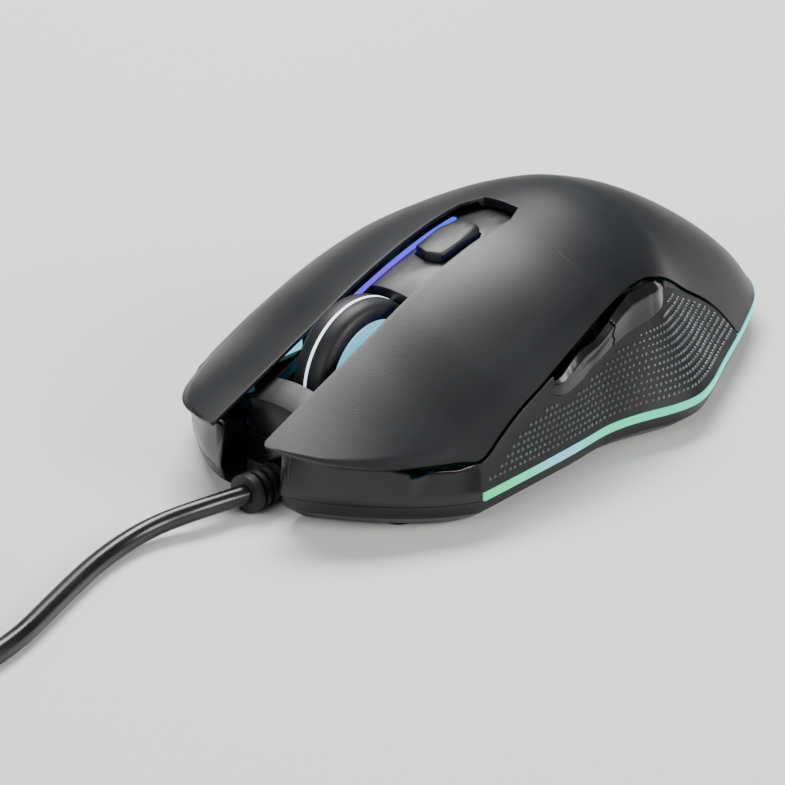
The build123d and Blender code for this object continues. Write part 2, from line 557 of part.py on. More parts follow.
def controller_chip():
    chip = block(7.5, 14.5, -12, -5, PCB_TOP, PCB_TOP + 1)
    return chamfer(chip.edges().filter_by(Axis.Z), 0.3)


def lamps():
    """Surface-mount light sources beside the wheel and round the edge of the board."""
    spots = [(-5.9, -27.5), (5.9, -26.5), (-19.4, -44), (19.4, -44), (-19.4, -8), (19.4, -8), (-13, 14), (13, 14)]
    return [block(x - 1.2, x + 1.2, y - 0.9, y + 0.9, PCB_TOP, PCB_TOP + 0.9) for x, y in spots]


def board_screws():
    """Screws that hold the board down on the tray's posts, heads up."""
    group = []
    for x, y in BOARD_POSTS:
        screw = post(x, y, PCB_TOP, PCB_TOP + 1.1, 1.7) + post(x, y, BASE_FLOOR + 0.2, PCB_TOP + 0.1, 0.78)
        screw -= block(x - 0.9, x + 0.9, y - 0.2, y + 0.2, PCB_TOP + 0.5, 20)
        group.append(screw - block(x - 0.2, x + 0.2, y - 0.9, y + 0.9, PCB_TOP + 0.5, 20))
    return group


# ---------------------------------------------------------------- cable
def cable_relief():
    """Ribbed rubber boot: front disc, three ribs, a neck through the wall and a flange behind it."""
    front = EXIT[1]
    core = Pos(0, (front + NOTCH_Y) / 2, RELIEF_Z) * Rot(90, 0, 0) * Cylinder(RELIEF_R - 0.8, NOTCH_Y - front)
    boot = core + Pos(0, front + 0.7, RELIEF_Z) * Rot(90, 0, 0) * Cylinder(RELIEF_R, 1.4)
    for rib in range(3):
        place = front + 2.5 + rib * 1.75
        boot += Pos(0, place, RELIEF_Z) * Rot(90, 0, 0) * Cylinder(RELIEF_R - 0.1, 0.9)
    neck_end = NOTCH_Y + 1.65
    boot += Pos(0, (NOTCH_Y + neck_end) / 2, RELIEF_Z) * Rot(90, 0, 0) * Cylinder(RELIEF_NECK_R, neck_end - NOTCH_Y)
    boot += block(-2.9, 2.9, neck_end, neck_end + 1, BASE_FLOOR + 0.05, RELIEF_Z + 2.6)
    return boot


def inner_lead():
    """Stripped end of the cable, from the boot to its socket on the board."""
    start = NOTCH_Y + 2.65
    turn = start + 2.5
    path = FilletPolyline((0, start, RELIEF_Z), (0, turn, RELIEF_Z), (SOCKET_X, turn, 7.8),
                          (SOCKET_X, SOCKET_Y, 7.8), radius=[1.2, 1.2])
    section = Plane(origin=path @ 0, z_dir=path % 0) * Circle(0.9)
    return sweep(section, path=path)


def route_radii(points):
    """Largest tangent arc at each corner of the route: 0.45 of its shorter run over tan(turn / 2)."""
    radii = []
    for a, b, c in zip(points, points[1:], points[2:]):
        first, second = Vector(*b) - Vector(*a), Vector(*c) - Vector(*b)
        turn = first.get_angle(second)
        radii.append(0.45 * min(first.length, second.length) / tan(radians(turn / 2)))
    return radii


def cable_tube():
    """The cable along the desk, from the boot to the coil."""
    radii = route_radii(ROUTE)
    print("cable radii:", [round(r, 1) for r in radii])
    path = FilletPolyline(*ROUTE, radius=radii)
    section = Plane(origin=path @ 0, z_dir=path % 0) * Circle(CABLE_D / 2)
    tube = sweep(section, path=path)
    print("cable tube:", round(path.length, 1), "mm, volume over section x length:",
          round(tube.volume / (pi * CABLE_D ** 2 / 4 * path.length), 4))
    return tube - coil_ring() - block(-5, 5, EXIT[1], EXIT[1] + 3, 0, 9)


def coil_ring():
    """Outer shape of the wound cable."""
    x, y = COIL_CENTRE
    return post(x, y, 0.05, COIL_HEIGHT, COIL_OUTER) - post(x, y, -1, COIL_HEIGHT + 1, COIL_INNER)


def cable_tail():
    """Short straight stretch from the coil to the plug."""
    x, y = COIL_CENTRE
    low = Pos(x - COIL_LAST_R, (y + PLUG_REAR) / 2, CABLE_D / 2 + 0.05) * Rot(90, 0, 0)
    return (low * Cylinder(CABLE_D / 2, PLUG_REAR - y)) - coil_ring()


def plug_body():
    """Moulded grip of the USB plug, with a short ribbed neck."""
    x = COIL_CENTRE[0] - COIL_LAST_R
    body = block(x - 6, x + 6, PLUG_REAR + 5, PLUG_REAR + 24, 0.05, 8.05)
    body = fillet(body.edges().filter_by(Axis.Y), 1.8)
    body = chamfer(body.faces().sort_by(Axis.Y)[0].edges(), 1.0)
    neck = block(x - 2.4, x + 2.4, PLUG_REAR, PLUG_REAR + 6, 0.05, 4.6)
    return body + neck


def plug_shell():
    """Folded steel shell of the plug, open at the front, with two latch windows in its top."""
    x = COIL_CENTRE[0] - COIL_LAST_R
    rear, tip = PLUG_REAR + 24, PLUG_REAR + 36
    shell = block(x - 6, x + 6, rear, tip, 1.8, 6.3) - block(x - 5.7, x + 5.7, rear + 1, tip + 1, 2.1, 6.0)
    for side in (-1, 1):
        shell -= block(x + side * 3 - 1, x + side * 3 + 1, rear + 4.5, rear + 6.7, 5, 8)
    return shell


def plug_tongue():
    """Insulating tongue with its four contacts, inside the shell."""
    x = COIL_CENTRE[0] - COIL_LAST_R
    rear, tip = PLUG_REAR + 24, PLUG_REAR + 36
    return block(x - 5.6, x + 5.6, rear + 1, tip - 0.4, 2.15, 3.9)


def coil_tie():
    """Hook-and-loop tie round one side of the coil."""
    x, y = COIL_CENTRE
    low, high = y - COIL_OUTER - 0.5, y - COIL_INNER + 0.5
    outer = block(x - 5, x + 5, low - 0.9, high + 0.9, 0.02, COIL_HEIGHT + 0.95)
    ring = coil_ring()
    return outer - block(x - 6, x + 6, low, high, -1, COIL_HEIGHT + 0.05) - ring


# ---------------------------------------------------------------- writing the parts
def main():
    left = main_key()
    export("left_key", left)
    export("right_key", mirror(left, Plane.YZ))
    export("top_cover", top_cover())
    panel = side_panel()
    opening = make_opening()
    export("thumb_side_panel", panel - opening)
    export("far_side_panel", mirror(panel, Plane.YZ))
    forward, back = thumb_buttons()
    export("forward_button", forward)
    export("back_button", back)
    export("nose_bumper", nose_bumper())
    export("centre_console", centre_console())
    export("channel_light_guides", guide_block(-1), guide_block(1))
    export("dpi_button", dpi_button())
    export("base_tray", base_tray())
    export("glide_feet", *skates())
    export("light_strip", light_strip())
    export("wheel_hub", wheel_hub())
    export("wheel_tyre", wheel_tyre())
    export("wheel_light_ring", wheel_ring(WHEEL_R + 0.05, WHEEL_R - 1.18, RING_HALF))
    export("wheel_axle", wheel_axle())
    export("wheel_yoke", wheel_yoke())
    export("yoke_stands", *yoke_stands())
    export("wheel_encoder", wheel_encoder())
    export_switches()
    export("main_board", main_board())
    export("thumb_board", thumb_board())
    export("dpi_board", dpi_board())
    export("optical_sensor", optical_sensor())
    export("sensor_lens", sensor_lens())
    export("controller_chip", controller_chip())
    export("lamps", *lamps())
    export("cable_socket", block(SOCKET_X - 2.8, SOCKET_X + 2.8, SOCKET_Y, SOCKET_Y + 4, PCB_TOP, 9.8))
    export("cover_screws", *screws(COVER_SCREWS, SCREW_SEAT, BOSS_TOP + 4 - SCREW_SEAT, 1.9, 0.85))
    export("board_screws", *board_screws())
    export("cable_relief", cable_relief())
    export("inner_lead", inner_lead())
    export("cable", cable_tube())
    export("cable_coil", coil_ring())
    export("cable_tail", cable_tail())
    export("usb_plug_body", plug_body())
    export("usb_plug_shell", plug_shell())
    export("usb_plug_tongue", plug_tongue())
    export("coil_tie", coil_tie())


main()
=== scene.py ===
# %% [markdown]
# # A wired gaming mouse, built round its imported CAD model
#
# The frame holds every piece of the mouse as a plain solid: switches, boards, covers, wheel and cable.
# This script keeps the pieces whose shape is already right and gives them real finishes.
# Where the eye looks longest, it models the piece again: the shells, the grips, the buttons, the wheel
# and the cable.

# %% Load the frame
from bisect import bisect_right
from math import cos, pi, radians, sin

import bmesh
import bpy
from mathutils import Euler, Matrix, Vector


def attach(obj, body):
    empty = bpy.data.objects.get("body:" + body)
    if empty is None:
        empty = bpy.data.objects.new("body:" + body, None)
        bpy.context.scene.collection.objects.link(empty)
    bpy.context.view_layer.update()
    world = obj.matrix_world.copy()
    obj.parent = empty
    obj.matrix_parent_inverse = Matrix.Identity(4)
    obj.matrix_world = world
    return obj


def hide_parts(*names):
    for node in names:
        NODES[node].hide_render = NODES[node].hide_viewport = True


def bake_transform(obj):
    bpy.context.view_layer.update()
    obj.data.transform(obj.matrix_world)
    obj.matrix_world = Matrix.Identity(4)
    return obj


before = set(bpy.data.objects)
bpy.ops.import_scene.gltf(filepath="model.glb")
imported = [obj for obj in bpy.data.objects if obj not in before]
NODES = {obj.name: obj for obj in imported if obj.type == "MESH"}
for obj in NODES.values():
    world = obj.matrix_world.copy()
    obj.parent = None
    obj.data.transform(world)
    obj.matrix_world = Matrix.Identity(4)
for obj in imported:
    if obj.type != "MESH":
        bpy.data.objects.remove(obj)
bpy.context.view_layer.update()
MM = 0.001

# %% [markdown]
# ## Camera
#
# The mouse is seen from its front corner on the thumb side, from a little above, with a long lens.
# A long lens keeps the nose and the tail at nearly the same scale, as product pictures do.
# The camera is turned by two plain angles, so there is no roll.

# %% Camera
CAMERA_PLACE = (246.9 * MM, -297.7 * MM, 184.6 * MM)
CAMERA_AZIMUTH = 42.28
CAMERA_ELEVATION = 25.58
LENS_MM = 113.8
SENSOR_MM = 36

bpy.ops.object.camera_add(location=CAMERA_PLACE)
camera = bpy.context.object
camera.rotation_euler = Euler((radians(90 - CAMERA_ELEVATION), 0, radians(CAMERA_AZIMUTH)))
camera.data.lens = LENS_MM
camera.data.sensor_width = SENSOR_MM
camera.data.clip_start = 0.01
bpy.context.scene.camera = camera
print("camera at", tuple(camera.location), "lens", LENS_MM)

# %% [markdown]
# ## Selecting and shaping
#
# An operator acts on everything that is selected, and the loader leaves its nodes selected.
# So each piece is picked alone before it is edited, and modifiers are applied as soon as they are set.


# %% Helpers for editing
def pick(piece):
    """Select one piece alone and make it active."""
    bpy.ops.object.select_all(action="DESELECT")
    piece.select_set(True)
    bpy.context.view_layer.objects.active = piece


def bake_place(piece):
    """Move the piece's place, turn and scale into its mesh."""
    pick(piece)
    bpy.ops.object.transform_apply(location=True, rotation=True, scale=True)


def modify(piece, kind, **settings):
    """Add one modifier and apply it."""
    pick(piece)
    modifier = piece.modifiers.new(kind.lower(), kind)
    for name, value in settings.items():
        setattr(modifier, name, value)
    bpy.ops.object.modifier_apply(modifier=modifier.name)


def in_edit_mode(piece, kind, chosen):
    """Enter edit mode with only the faces or edges for which chosen(element) is true selected."""
    pick(piece)
    bpy.ops.object.mode_set(mode="EDIT")
    bpy.context.tool_settings.mesh_select_mode = (kind == "VERT", kind == "EDGE", kind == "FACE")
    bpy.ops.mesh.select_all(action="DESELECT")
    mesh = bmesh.from_edit_mesh(piece.data)
    elements = {"VERT": mesh.verts, "EDGE": mesh.edges, "FACE": mesh.faces}[kind]
    for element in elements:
        if chosen(element):
            element.select_set(True)
    mesh.select_flush_mode()
    bmesh.update_edit_mesh(piece.data)


def leave_edit_mode():
    bpy.ops.object.mode_set(mode="OBJECT")


def in_scene(name, data):
    """A new object in the scene that shows this mesh or curve."""
    piece = bpy.data.objects.new(name, data)
    bpy.context.scene.collection.objects.link(piece)
    return piece


def mesh_piece(name, points, edges, faces):
    """A new piece from points in metres, with its edges or faces."""
    mesh = bpy.data.meshes.new(name)
    mesh.from_pydata(points, edges, faces)
    return in_scene(name, mesh)


def block(middle, size):
    """A block with its place and size in millimetres, ready to be shaped."""
    bpy.ops.mesh.primitive_cube_add(size=1, location=Vector(middle) * MM)
    piece = bpy.context.object
    piece.scale = Vector(size) * MM
    bake_place(piece)
    return piece


def joined(pieces, name):
    """One object out of several, under a new name."""
    bpy.ops.object.select_all(action="DESELECT")
    for piece in pieces:
        piece.select_set(True)
    bpy.context.view_layer.objects.active = pieces[0]
    if len(pieces) > 1:
        bpy.ops.object.join()
    pieces[0].name = name
    return pieces[0]


def smooth_shade(piece, degrees=35):
    pick(piece)
    bpy.ops.object.shade_smooth_by_angle(angle=radians(degrees))


def on_all_faces(piece, *operators):
    """Run operators, given as (function, settings), on all faces of a piece."""
    in_edit_mode(piece, "FACE", lambda face: True)
    for operator, settings in operators:
        operator(**settings)
    leave_edit_mode()


def round_edges(piece, chosen, width_mm, segments):
    """Bevel the chosen edges of a piece."""
    in_edit_mode(piece, "EDGE", chosen)
    bpy.ops.mesh.bevel(offset=width_mm * MM, segments=segments, affect="EDGES", clamp_overlap=True)
    leave_edit_mode()


def flipped(piece):
    on_all_faces(piece, (bpy.ops.mesh.flip_normals, {}))


def right_side_out(piece):
    """Turn a closed solid's faces outwards: its volume, taken with its sign, must be positive."""
    mesh = bmesh.new()
    mesh.from_mesh(piece.data)
    inside_out = mesh.calc_volume(signed=True) < 0
    mesh.free()
    if inside_out:
        flipped(piece)


def softened(node, name, width_mm):
    """A merged copy of a kept node with its sharp edges rounded."""
    piece = in_scene(name, NODES[node].data.copy())
    on_all_faces(piece, (bpy.ops.mesh.remove_doubles, {"threshold": 0.004 * MM}),
                 (bpy.ops.mesh.dissolve_limited, {"angle_limit": radians(2)}))
    right_side_out(piece)
    modify(piece, "BEVEL", width=width_mm * MM, segments=2, limit_method="ANGLE",
           angle_limit=radians(35))
    smooth_shade(piece, 30)
    return piece


def finished(piece, body, material, slot, *nodes):
    """Hand a modelled piece over: finish, body and the nodes that it stands for; slot is not used."""
    piece.data.materials.clear()
    piece.data.materials.append(material)
    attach(piece, body)
    if nodes:
        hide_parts(*nodes)
    print(piece.name, len(piece.data.polygons), "faces on", body)


# %% [markdown]
# ## Making finishes
#
# Colours are written as the sRGB hex values that a painter would pick, and one function turns them to the
# linear values that the renderer works in. One more function adds a node with its settings and links.


# %% Helpers for finishes
def linear(hex_colour):
    """An sRGB hex colour as linear RGBA."""
    values = [int(hex_colour[i:i + 2], 16) / 255 for i in (1, 3, 5)]
    return [v / 12.92 if v <= 0.04045 else ((v + 0.055) / 1.055) ** 2.4 for v in values] + [1.0]


def add(material, kind, settings=None, **inputs):
    """Add a node: settings are its own properties, inputs are values or (node, output) links."""
    tree = material.node_tree
    node = tree.nodes.new("ShaderNode" + kind)
    for name, value in (settings or {}).items():
        setattr(node, name, value)
    for name, value in inputs.items():
        socket = node.inputs[name.replace("_", " ")]
        if isinstance(value, tuple) and isinstance(value[0], bpy.types.Node):
            tree.links.new(value[0].outputs[value[1]], socket)
        else:
            socket.default_value = value
    return node


def new_material(name, **shader_values):
    """A material with its shader; values are set on the shader's own sockets."""
    material = bpy.data.materials.new(name)
    material.use_nodes = True
    shader = material.node_tree.nodes["Principled BSDF"]
    for key, value in shader_values.items():
        shader.inputs[key.replace("_", " ")].default_value = value
    return material, shader


def ramp_stops(node, stops):
    """Set the stops of a colour ramp from (position, colour) pairs."""
    ramp = node.color_ramp
    while len(ramp.elements) < len(stops):
        ramp.elements.new(1.0)
    for element, (position, colour) in zip(ramp.elements, stops):
        element.position = position
        element.color = colour


def wire(material, shader, **links):
    """Link (node, output) pairs to the shader's sockets."""
    for name, (node, output) in links.items():
        material.node_tree.links.new(node.outputs[output], shader.inputs[name.replace("_", " ")])


def per_mm(size_mm):
    """Texture scale that makes a feature this many millimetres wide."""
    return 1 / (size_mm * MM)


def grained(name, colour, roughness, grain_mm, depth_mm, cloud_mm=14, spread=0.08, tint=0.25, **values):
    """A moulded or cast surface: fine grain in relief, and slow clouds in its colour and gloss."""
    material, shader = new_material(name, **values)
    place = add(material, "TexCoord")
    grain = add(material, "TexNoise", Vector=(place, "Object"), Scale=per_mm(grain_mm), Detail=2.0)
    clouds = add(material, "TexNoise", Vector=(place, "Object"), Scale=per_mm(cloud_mm), Detail=4.0)
    base = linear(colour)
    darker = [c * (1 - tint) for c in base[:3]] + [1.0]
    lighter = [min(c * (1 + tint), 1.0) for c in base[:3]] + [1.0]
    shades = add(material, "ValToRGB", Fac=(clouds, "Fac"))
    ramp_stops(shades, [(0.3, darker), (0.7, lighter)])
    gloss = add(material, "MapRange", Value=(clouds, "Fac"), From_Min=0.3, From_Max=0.7,
                To_Min=roughness - spread, To_Max=roughness + spread)
    relief = add(material, "Bump", Height=(grain, "Fac"), Strength=1.0, Distance=depth_mm * MM)
    wire(material, shader, Base_Color=(shades, "Color"), Roughness=(gloss, "Result"),
         Normal=(relief, "Normal"))
    return material


def glowing(name, colour, strength, stops, axis, low_mm, high_mm, roughness=0.25, **values):
    """Clear acrylic lit from inside: its light changes colour along one axis."""
    material, shader = new_material(name, Base_Color=linear(colour), Emission_Strength=strength, **values)
    place = add(material, "TexCoord")
    split = add(material, "SeparateXYZ", Vector=(place, "Object"))
    along = add(material, "MapRange", Value=(split, axis), From_Min=low_mm * MM, From_Max=high_mm * MM)
    light = add(material, "ValToRGB", Fac=(along, "Result"))
    ramp_stops(light, [(position, linear(stop)) for position, stop in stops])
    haze = add(material, "TexNoise", Vector=(place, "Object"), Scale=per_mm(1.5), Detail=3.0)
    gloss = add(material, "MapRange", Value=(haze, "Fac"), To_Min=roughness - 0.06, To_Max=roughness + 0.1)
    wire(material, shader, Emission_Color=(light, "Color"), Roughness=(gloss, "Result"))
    return material


# %% [markdown]
# ## Floor and studio light
#
# A pale sweep of paper and three soft boxes: one long box above and behind draws a bright line along
# every edge of the dark shell, one on the thumb side shapes the grip, and a weak one in front fills in.

# %% Studio
FLOOR_HALF = 3.0
bpy.ops.mesh.primitive_plane_add(size=2 * FLOOR_HALF, location=(0, 0, 0))
floor = bpy.context.object
floor.name = "studio_floor"
on_all_faces(floor, (bpy.ops.mesh.subdivide, {"number_cuts": 3}))
paper = grained("matt studio paper", "#D9D8D5", 0.75, 0.8, 0.02, cloud_mm=400, tint=0.02)
floor.data.materials.append(paper)


def soft_box(name, place, aim, width, height, watts):
    """An area light that looks at a point."""
    bpy.ops.object.light_add(type="AREA", location=place)
    lamp = bpy.context.object
    lamp.name = name
    lamp.data.shape = "RECTANGLE"
    lamp.data.size = width
    lamp.data.size_y = height
    lamp.data.energy = watts
    lamp.rotation_euler = (Vector(aim) - Vector(place)).to_track_quat("-Z", "Y").to_euler()
    return lamp


# name, place, aim, width and height in metres, power in watts
SOFT_BOXES = [("overhead_box", (-0.35, 0.25, 0.75), (0, 0, 0.02), 0.6, 0.35, 15),
              ("thumb_side_box", (0.75, 0.15, 0.4), (0.02, 0, 0.01), 0.45, 0.25, 7),
              ("front_fill", (0.1, -0.9, 0.5), (0, -0.03, 0.01), 0.6, 0.4, 5)]
for values in SOFT_BOXES:
    soft_box(*values)

world = bpy.data.worlds.new("studio_air")
world.use_nodes = True
sky = world.node_tree.nodes["Background"]
sky.inputs["Color"].default_value = linear("#E4E8EE")
sky.inputs["Strength"].default_value = 0.3
bpy.context.scene.world = world

# %% [markdown]
# ## The cable
#
# A mouse cable is 3.2 mm of soft PVC. It leaves the relief straight, sinks to the desk and swings forward
# in one lazy curve. What nobody sees is wound in a neat coil in front, with a tie round it and the plug
# beside it. One smooth spline carries the whole length, so there is no joint to hide.

# %% Cable route
CABLE_D = 3.2
RELIEF_FRONT = (0.0, -60.3, 3.4)
ON_DESK = 1.65
COIL_X, COIL_Y = -16.5, -141.0
ROUTE = [RELIEF_FRONT, (-1.4, -67.5, 3.6), (-4.8, -76.5, 2.3), (-3.7, -87.5, ON_DESK),
         (0.7, -99.5, ON_DESK), (5.8, -112.5, ON_DESK), (6.6, -127, ON_DESK)]
TURN_POINTS = 16
LAYERS = [ON_DESK + 3.25 * i for i in range(4)]
RINGS = [21.8, 18.5, 15.2]
LAST_RING = 25.1
PLUG_REAR = COIL_Y + 17


def coil_stations():
    """Radius and height of each turn: three side by side, then the next layer back again."""
    stations = []
    for i, height in enumerate(LAYERS):
        rings = RINGS if i % 2 == 0 else RINGS[::-1]
        stations += [(radius, height) for radius in rings]
    return stations


def coil_points():
    """The turns, clockwise from above; each moves to the next in the last part of its round."""
    stations = coil_stations()
    points = []
    for i, (radius, height) in enumerate(stations):
        next_radius, next_height = stations[min(i + 1, len(stations) - 1)]
        for j in range(TURN_POINTS):
            t = j / TURN_POINTS
            s = min(max((t - 0.6) / 0.4, 0), 1)
            s = s * s * (3 - 2 * s)
            r = radius + (next_radius - radius) * s
            z = height + (next_height - height) * s
            points.append((COIL_X + r * cos(-2 * pi * t), COIL_Y + r * sin(-2 * pi * t), z))
    half = TURN_POINTS // 2
    for j in range(half + 1):
        t = j / half
        s = min(t / 0.85, 1)
        r = RINGS[0] + (LAST_RING - RINGS[0]) * min(t / 0.3, 1)
        z = LAYERS[-1] + (ON_DESK - LAYERS[-1]) * s * s * (3 - 2 * s)
        points.append((COIL_X + r * cos(-pi * t), COIL_Y + r * sin(-pi * t), z))
    return points


tail = [(COIL_X - LAST_RING, COIL_Y + 6, ON_DESK), (COIL_X - LAST_RING, COIL_Y + 12, 1.9),
        (COIL_X - LAST_RING, PLUG_REAR, 2.3)]
cable_points = ROUTE + coil_points() + tail
print("cable points", len(cable_points))

# %% Cable curve
curve = bpy.data.curves.new("cable_line", "CURVE")
curve.dimensions = "3D"
spline = curve.splines.new("NURBS")
spline.points.add(len(cable_points) - 1)
for point, (x, y, z) in zip(spline.points, cable_points):
    point.co = (x * MM, y * MM, z * MM, 1)
spline.order_u = 3
spline.use_endpoint_u = True
spline.resolution_u = 6
curve.bevel_depth = CABLE_D / 2 * MM
curve.bevel_resolution = 5
curve.use_fill_caps = True
cable = in_scene("usb_cable", curve)
pvc = grained("extruded PVC cable jacket", "#0B0B0C", 0.3, 0.5, 0.01, cloud_mm=9, spread=0.07)
curve.materials.append(pvc)

# %% [markdown]
# ## Finishes of the plastics
#
# The covers are ABS with a soft-touch coat: nearly black, very matt, with a fine sprayed grain that only
# shows where light grazes it. The panels are spark-eroded ABS without the coat, so they are a little
# rougher. The studs on them are painted a lighter grey: a painted highlight that stands in for the light on
# their facets. The buttons and the nose are polished ABS with a slight waviness, and the tray is satin.
# Real sprayed grain is about 0.1 mm. It is drawn at 0.3 mm, the finest that still shows.

# %% Plastics
soft_touch = grained("soft-touch coated ABS", "#0C0D0F", 0.42, 0.34, 0.014, cloud_mm=18, spread=0.04,
                     Specular_IOR_Level=0.38)
eroded = grained("spark-eroded ABS", "#08090A", 0.52, 0.4, 0.03, cloud_mm=9, spread=0.06,
                 Specular_IOR_Level=0.3)
# The studs' lighter grey is painted highlight: it stands in for the light caught on their facets, not for
# wear.
stud_highlight_paint = grained("burnished ABS", "#55585C", 0.25, 0.5, 0.005, cloud_mm=9, spread=0.05)
polished = grained("polished ABS", "#060607", 0.24, 6.0, 0.02, cloud_mm=12, spread=0.05,
                   Specular_IOR_Level=0.4)
satin = grained("satin ABS", "#0A0B0C", 0.4, 0.35, 0.012, cloud_mm=10, spread=0.06,
                Specular_IOR_Level=0.4)
switch_plastic = grained("glass-filled nylon", "#121213", 0.45, 0.5, 0.02, cloud_mm=4)
plunger_plastic = grained("white acetal", "#E4E2DC", 0.35, 0.6, 0.01, cloud_mm=3, tint=0.04)
white_nylon = grained("natural nylon", "#D8D5CB", 0.4, 0.6, 0.015, cloud_mm=5, tint=0.05)
chip_resin = grained("epoxy moulding resin", "#141416", 0.6, 0.25, 0.02, cloud_mm=3)
ptfe = grained("dyed PTFE", "#1A1B1D", 0.28, 0.9, 0.01, cloud_mm=6, spread=0.08)
plug_insulator = grained("white PBT", "#E8E6E0", 0.4, 0.7, 0.01, cloud_mm=4, tint=0.03)
print("plastics ready")

# %% [markdown]
# ## Rubbers
#
# The tyre is silicone rubber, smooth but matt, and a finger polishes its crest a little. The strain
# relief is a softer thermoplastic rubber with a moulded grain.

# %% Rubbers
tyre_rubber = grained("moulded silicone rubber", "#121315", 0.55, 0.45, 0.02, cloud_mm=5, spread=0.08,
                      Specular_IOR_Level=0.35)
boot_rubber = grained("thermoplastic rubber", "#131314", 0.55, 0.4, 0.03, cloud_mm=4, spread=0.08)
print("rubbers ready")

# %% [markdown]
# ## Light pipes
#
# The strip, the guides and the wheel are clear acrylic with lamps behind them. The strip is sea green at
# the nose and along the side and turns to cyan towards the tail, with a paler patch in front of a lamp.

# %% Light pipes
strip_light = glowing("edge-lit acrylic, green", "#04120E", 1.5,
                      [(0.0, "#00E88C"), (0.12, "#0CF0A0"), (0.24, "#86D4F4"), (0.34, "#14F2AC"),
                       (1.0, "#12CDE8")],
                      "Y", -45, 62)
guide_light = glowing("edge-lit acrylic, violet", "#120A3A", 1.6,
                      [(0.0, "#4E3BFF"), (0.5, "#6A3CFF"), (1.0, "#3A5BFF")], "Y", -41, -5)
hub_light = glowing("edge-lit acrylic, cyan", "#0A2A3A", 1.0,
                    [(0.0, "#2E8DF0"), (0.6, "#59DCFF"), (1.0, "#A9F2FF")], "Z", 3, 28, roughness=0.3)
ring_light = glowing("edge-lit acrylic, white", "#DDE6FF", 1.6,
                     [(0.0, "#8FA8FF"), (1.0, "#F4F7FF")], "Z", 3, 28, roughness=0.3)
print("light pipes ready")

# %% [markdown]
# ## Metals, board and lens
#
# Screws and the axle are bright zinc-plated steel, the plug's shell is nickel, with fine drawing lines
# along it. The boards have a nearly black solder mask, so that nothing shines through the gaps.


# %% Metals
def drawn_metal(name, colour, roughness, stretch):
    """Metal with fine lines: noise that is stretched along the drawing direction."""
    material, shader = new_material(name, Metallic=1.0)
    place = add(material, "TexCoord")
    squeeze = add(material, "Mapping", Vector=(place, "Object"), Scale=stretch)
    lines = add(material, "TexNoise", Vector=(squeeze, "Vector"), Scale=per_mm(0.3), Detail=3.0)
    gloss = add(material, "MapRange", Value=(lines, "Fac"), To_Min=roughness - 0.08,
                To_Max=roughness + 0.12)
    relief = add(material, "Bump", Height=(lines, "Fac"), Strength=0.6, Distance=0.004 * MM)
    shades = add(material, "ValToRGB", Fac=(lines, "Fac"))
    base = linear(colour)
    ramp_stops(shades, [(0.3, [c * 0.85 for c in base[:3]] + [1.0]), (0.7, base)])
    wire(material, shader, Base_Color=(shades, "Color"), Roughness=(gloss, "Result"),
         Normal=(relief, "Normal"))
    return material


steel = drawn_metal("zinc-plated steel", "#C9CBCE", 0.3, (1.0, 1.0, 1.0))
nickel = drawn_metal("nickel-plated steel", "#D3D0C8", 0.22, (1.0, 0.08, 1.0))
print("metals ready")


# %% Board and lens
def board_finish():
    """Solder mask: nearly black green gloss over tracks that show as slightly lighter lines."""
    material, shader = new_material("green solder mask", Coat_Weight=0.5, Coat_Roughness=0.1)
    place = add(material, "TexCoord")
    tracks = add(material, "TexBrick", Vector=(place, "Object"), Scale=per_mm(7), Mortar_Size=0.02,
                 Color1=linear("#08110C"), Color2=linear("#0A150F"), Mortar=linear("#14251B"))
    weave = add(material, "TexNoise", Vector=(place, "Object"), Scale=per_mm(0.5), Detail=2.0)
    gloss = add(material, "MapRange", Value=(weave, "Fac"), To_Min=0.25, To_Max=0.4)
    relief = add(material, "Bump", Height=(weave, "Fac"), Strength=0.5, Distance=0.01 * MM)
    wire(material, shader, Base_Color=(tracks, "Color"), Roughness=(gloss, "Result"),
         Normal=(relief, "Normal"))
    return material


def lens_finish():
    """Clear polycarbonate with faint swirls in its gloss."""
    material, shader = new_material("clear polycarbonate", Base_Color=linear("#E9EFF2"),
                                    Transmission_Weight=0.9, IOR=1.58)
    place = add(material, "TexCoord")
    swirl = add(material, "TexNoise", Vector=(place, "Object"), Scale=per_mm(2), Detail=3.0)
    gloss = add(material, "MapRange", Value=(swirl, "Fac"), To_Min=0.03, To_Max=0.12)
    wire(material, shader, Roughness=(gloss, "Result"))
    return material


solder_mask = board_finish()
polycarbonate = lens_finish()
print("board and lens ready")

# %% [markdown]
# ## The pieces that keep their CAD shape
#
# Switches, boards, chips, screws and light pipes are right as they are. They get the finishes above. So do
# the nodes that are modelled again further down, so that no node is left plain.

# %% Finishes of the kept nodes
FINISHES = {
    soft_touch: ["top_cover", "left_key", "right_key"],
    eroded: ["thumb_side_panel", "far_side_panel"],
    polished: ["nose_bumper", "forward_button", "back_button"],
    satin: ["base_tray", "centre_console", "dpi_button"],
    switch_plastic: ["wheel_encoder", "wheel_yoke", "left_switch", "right_switch", "wheel_click_switch",
                     "dpi_switch", "forward_switch", "back_switch"],
    plunger_plastic: ["left_plunger", "right_plunger", "wheel_click_plunger", "dpi_plunger",
                      "forward_plunger", "back_plunger"],
    white_nylon: ["yoke_stands", "lamps", "cable_socket"],
    chip_resin: ["controller_chip", "optical_sensor"],
    ptfe: ["glide_feet"],
    plug_insulator: ["usb_plug_tongue"],
    tyre_rubber: ["wheel_tyre"],
    boot_rubber: ["cable_relief", "usb_plug_body"],
    strip_light: ["light_strip"],
    guide_light: ["channel_light_guides"],
    hub_light: ["wheel_hub"],
    ring_light: ["wheel_light_ring"],
    steel: ["wheel_axle", "cover_screws", "board_screws"],
    nickel: ["usb_plug_shell"],
    solder_mask: ["main_board", "thumb_board", "dpi_board"],
    polycarbonate: ["sensor_lens"],
    pvc: ["inner_lead"],
}
for material, names in FINISHES.items():
    for name in names:
        NODES[name].data.materials.clear()
        NODES[name].data.materials.append(material)
print("finished nodes", sum(len(names) for names in FINISHES.values()))

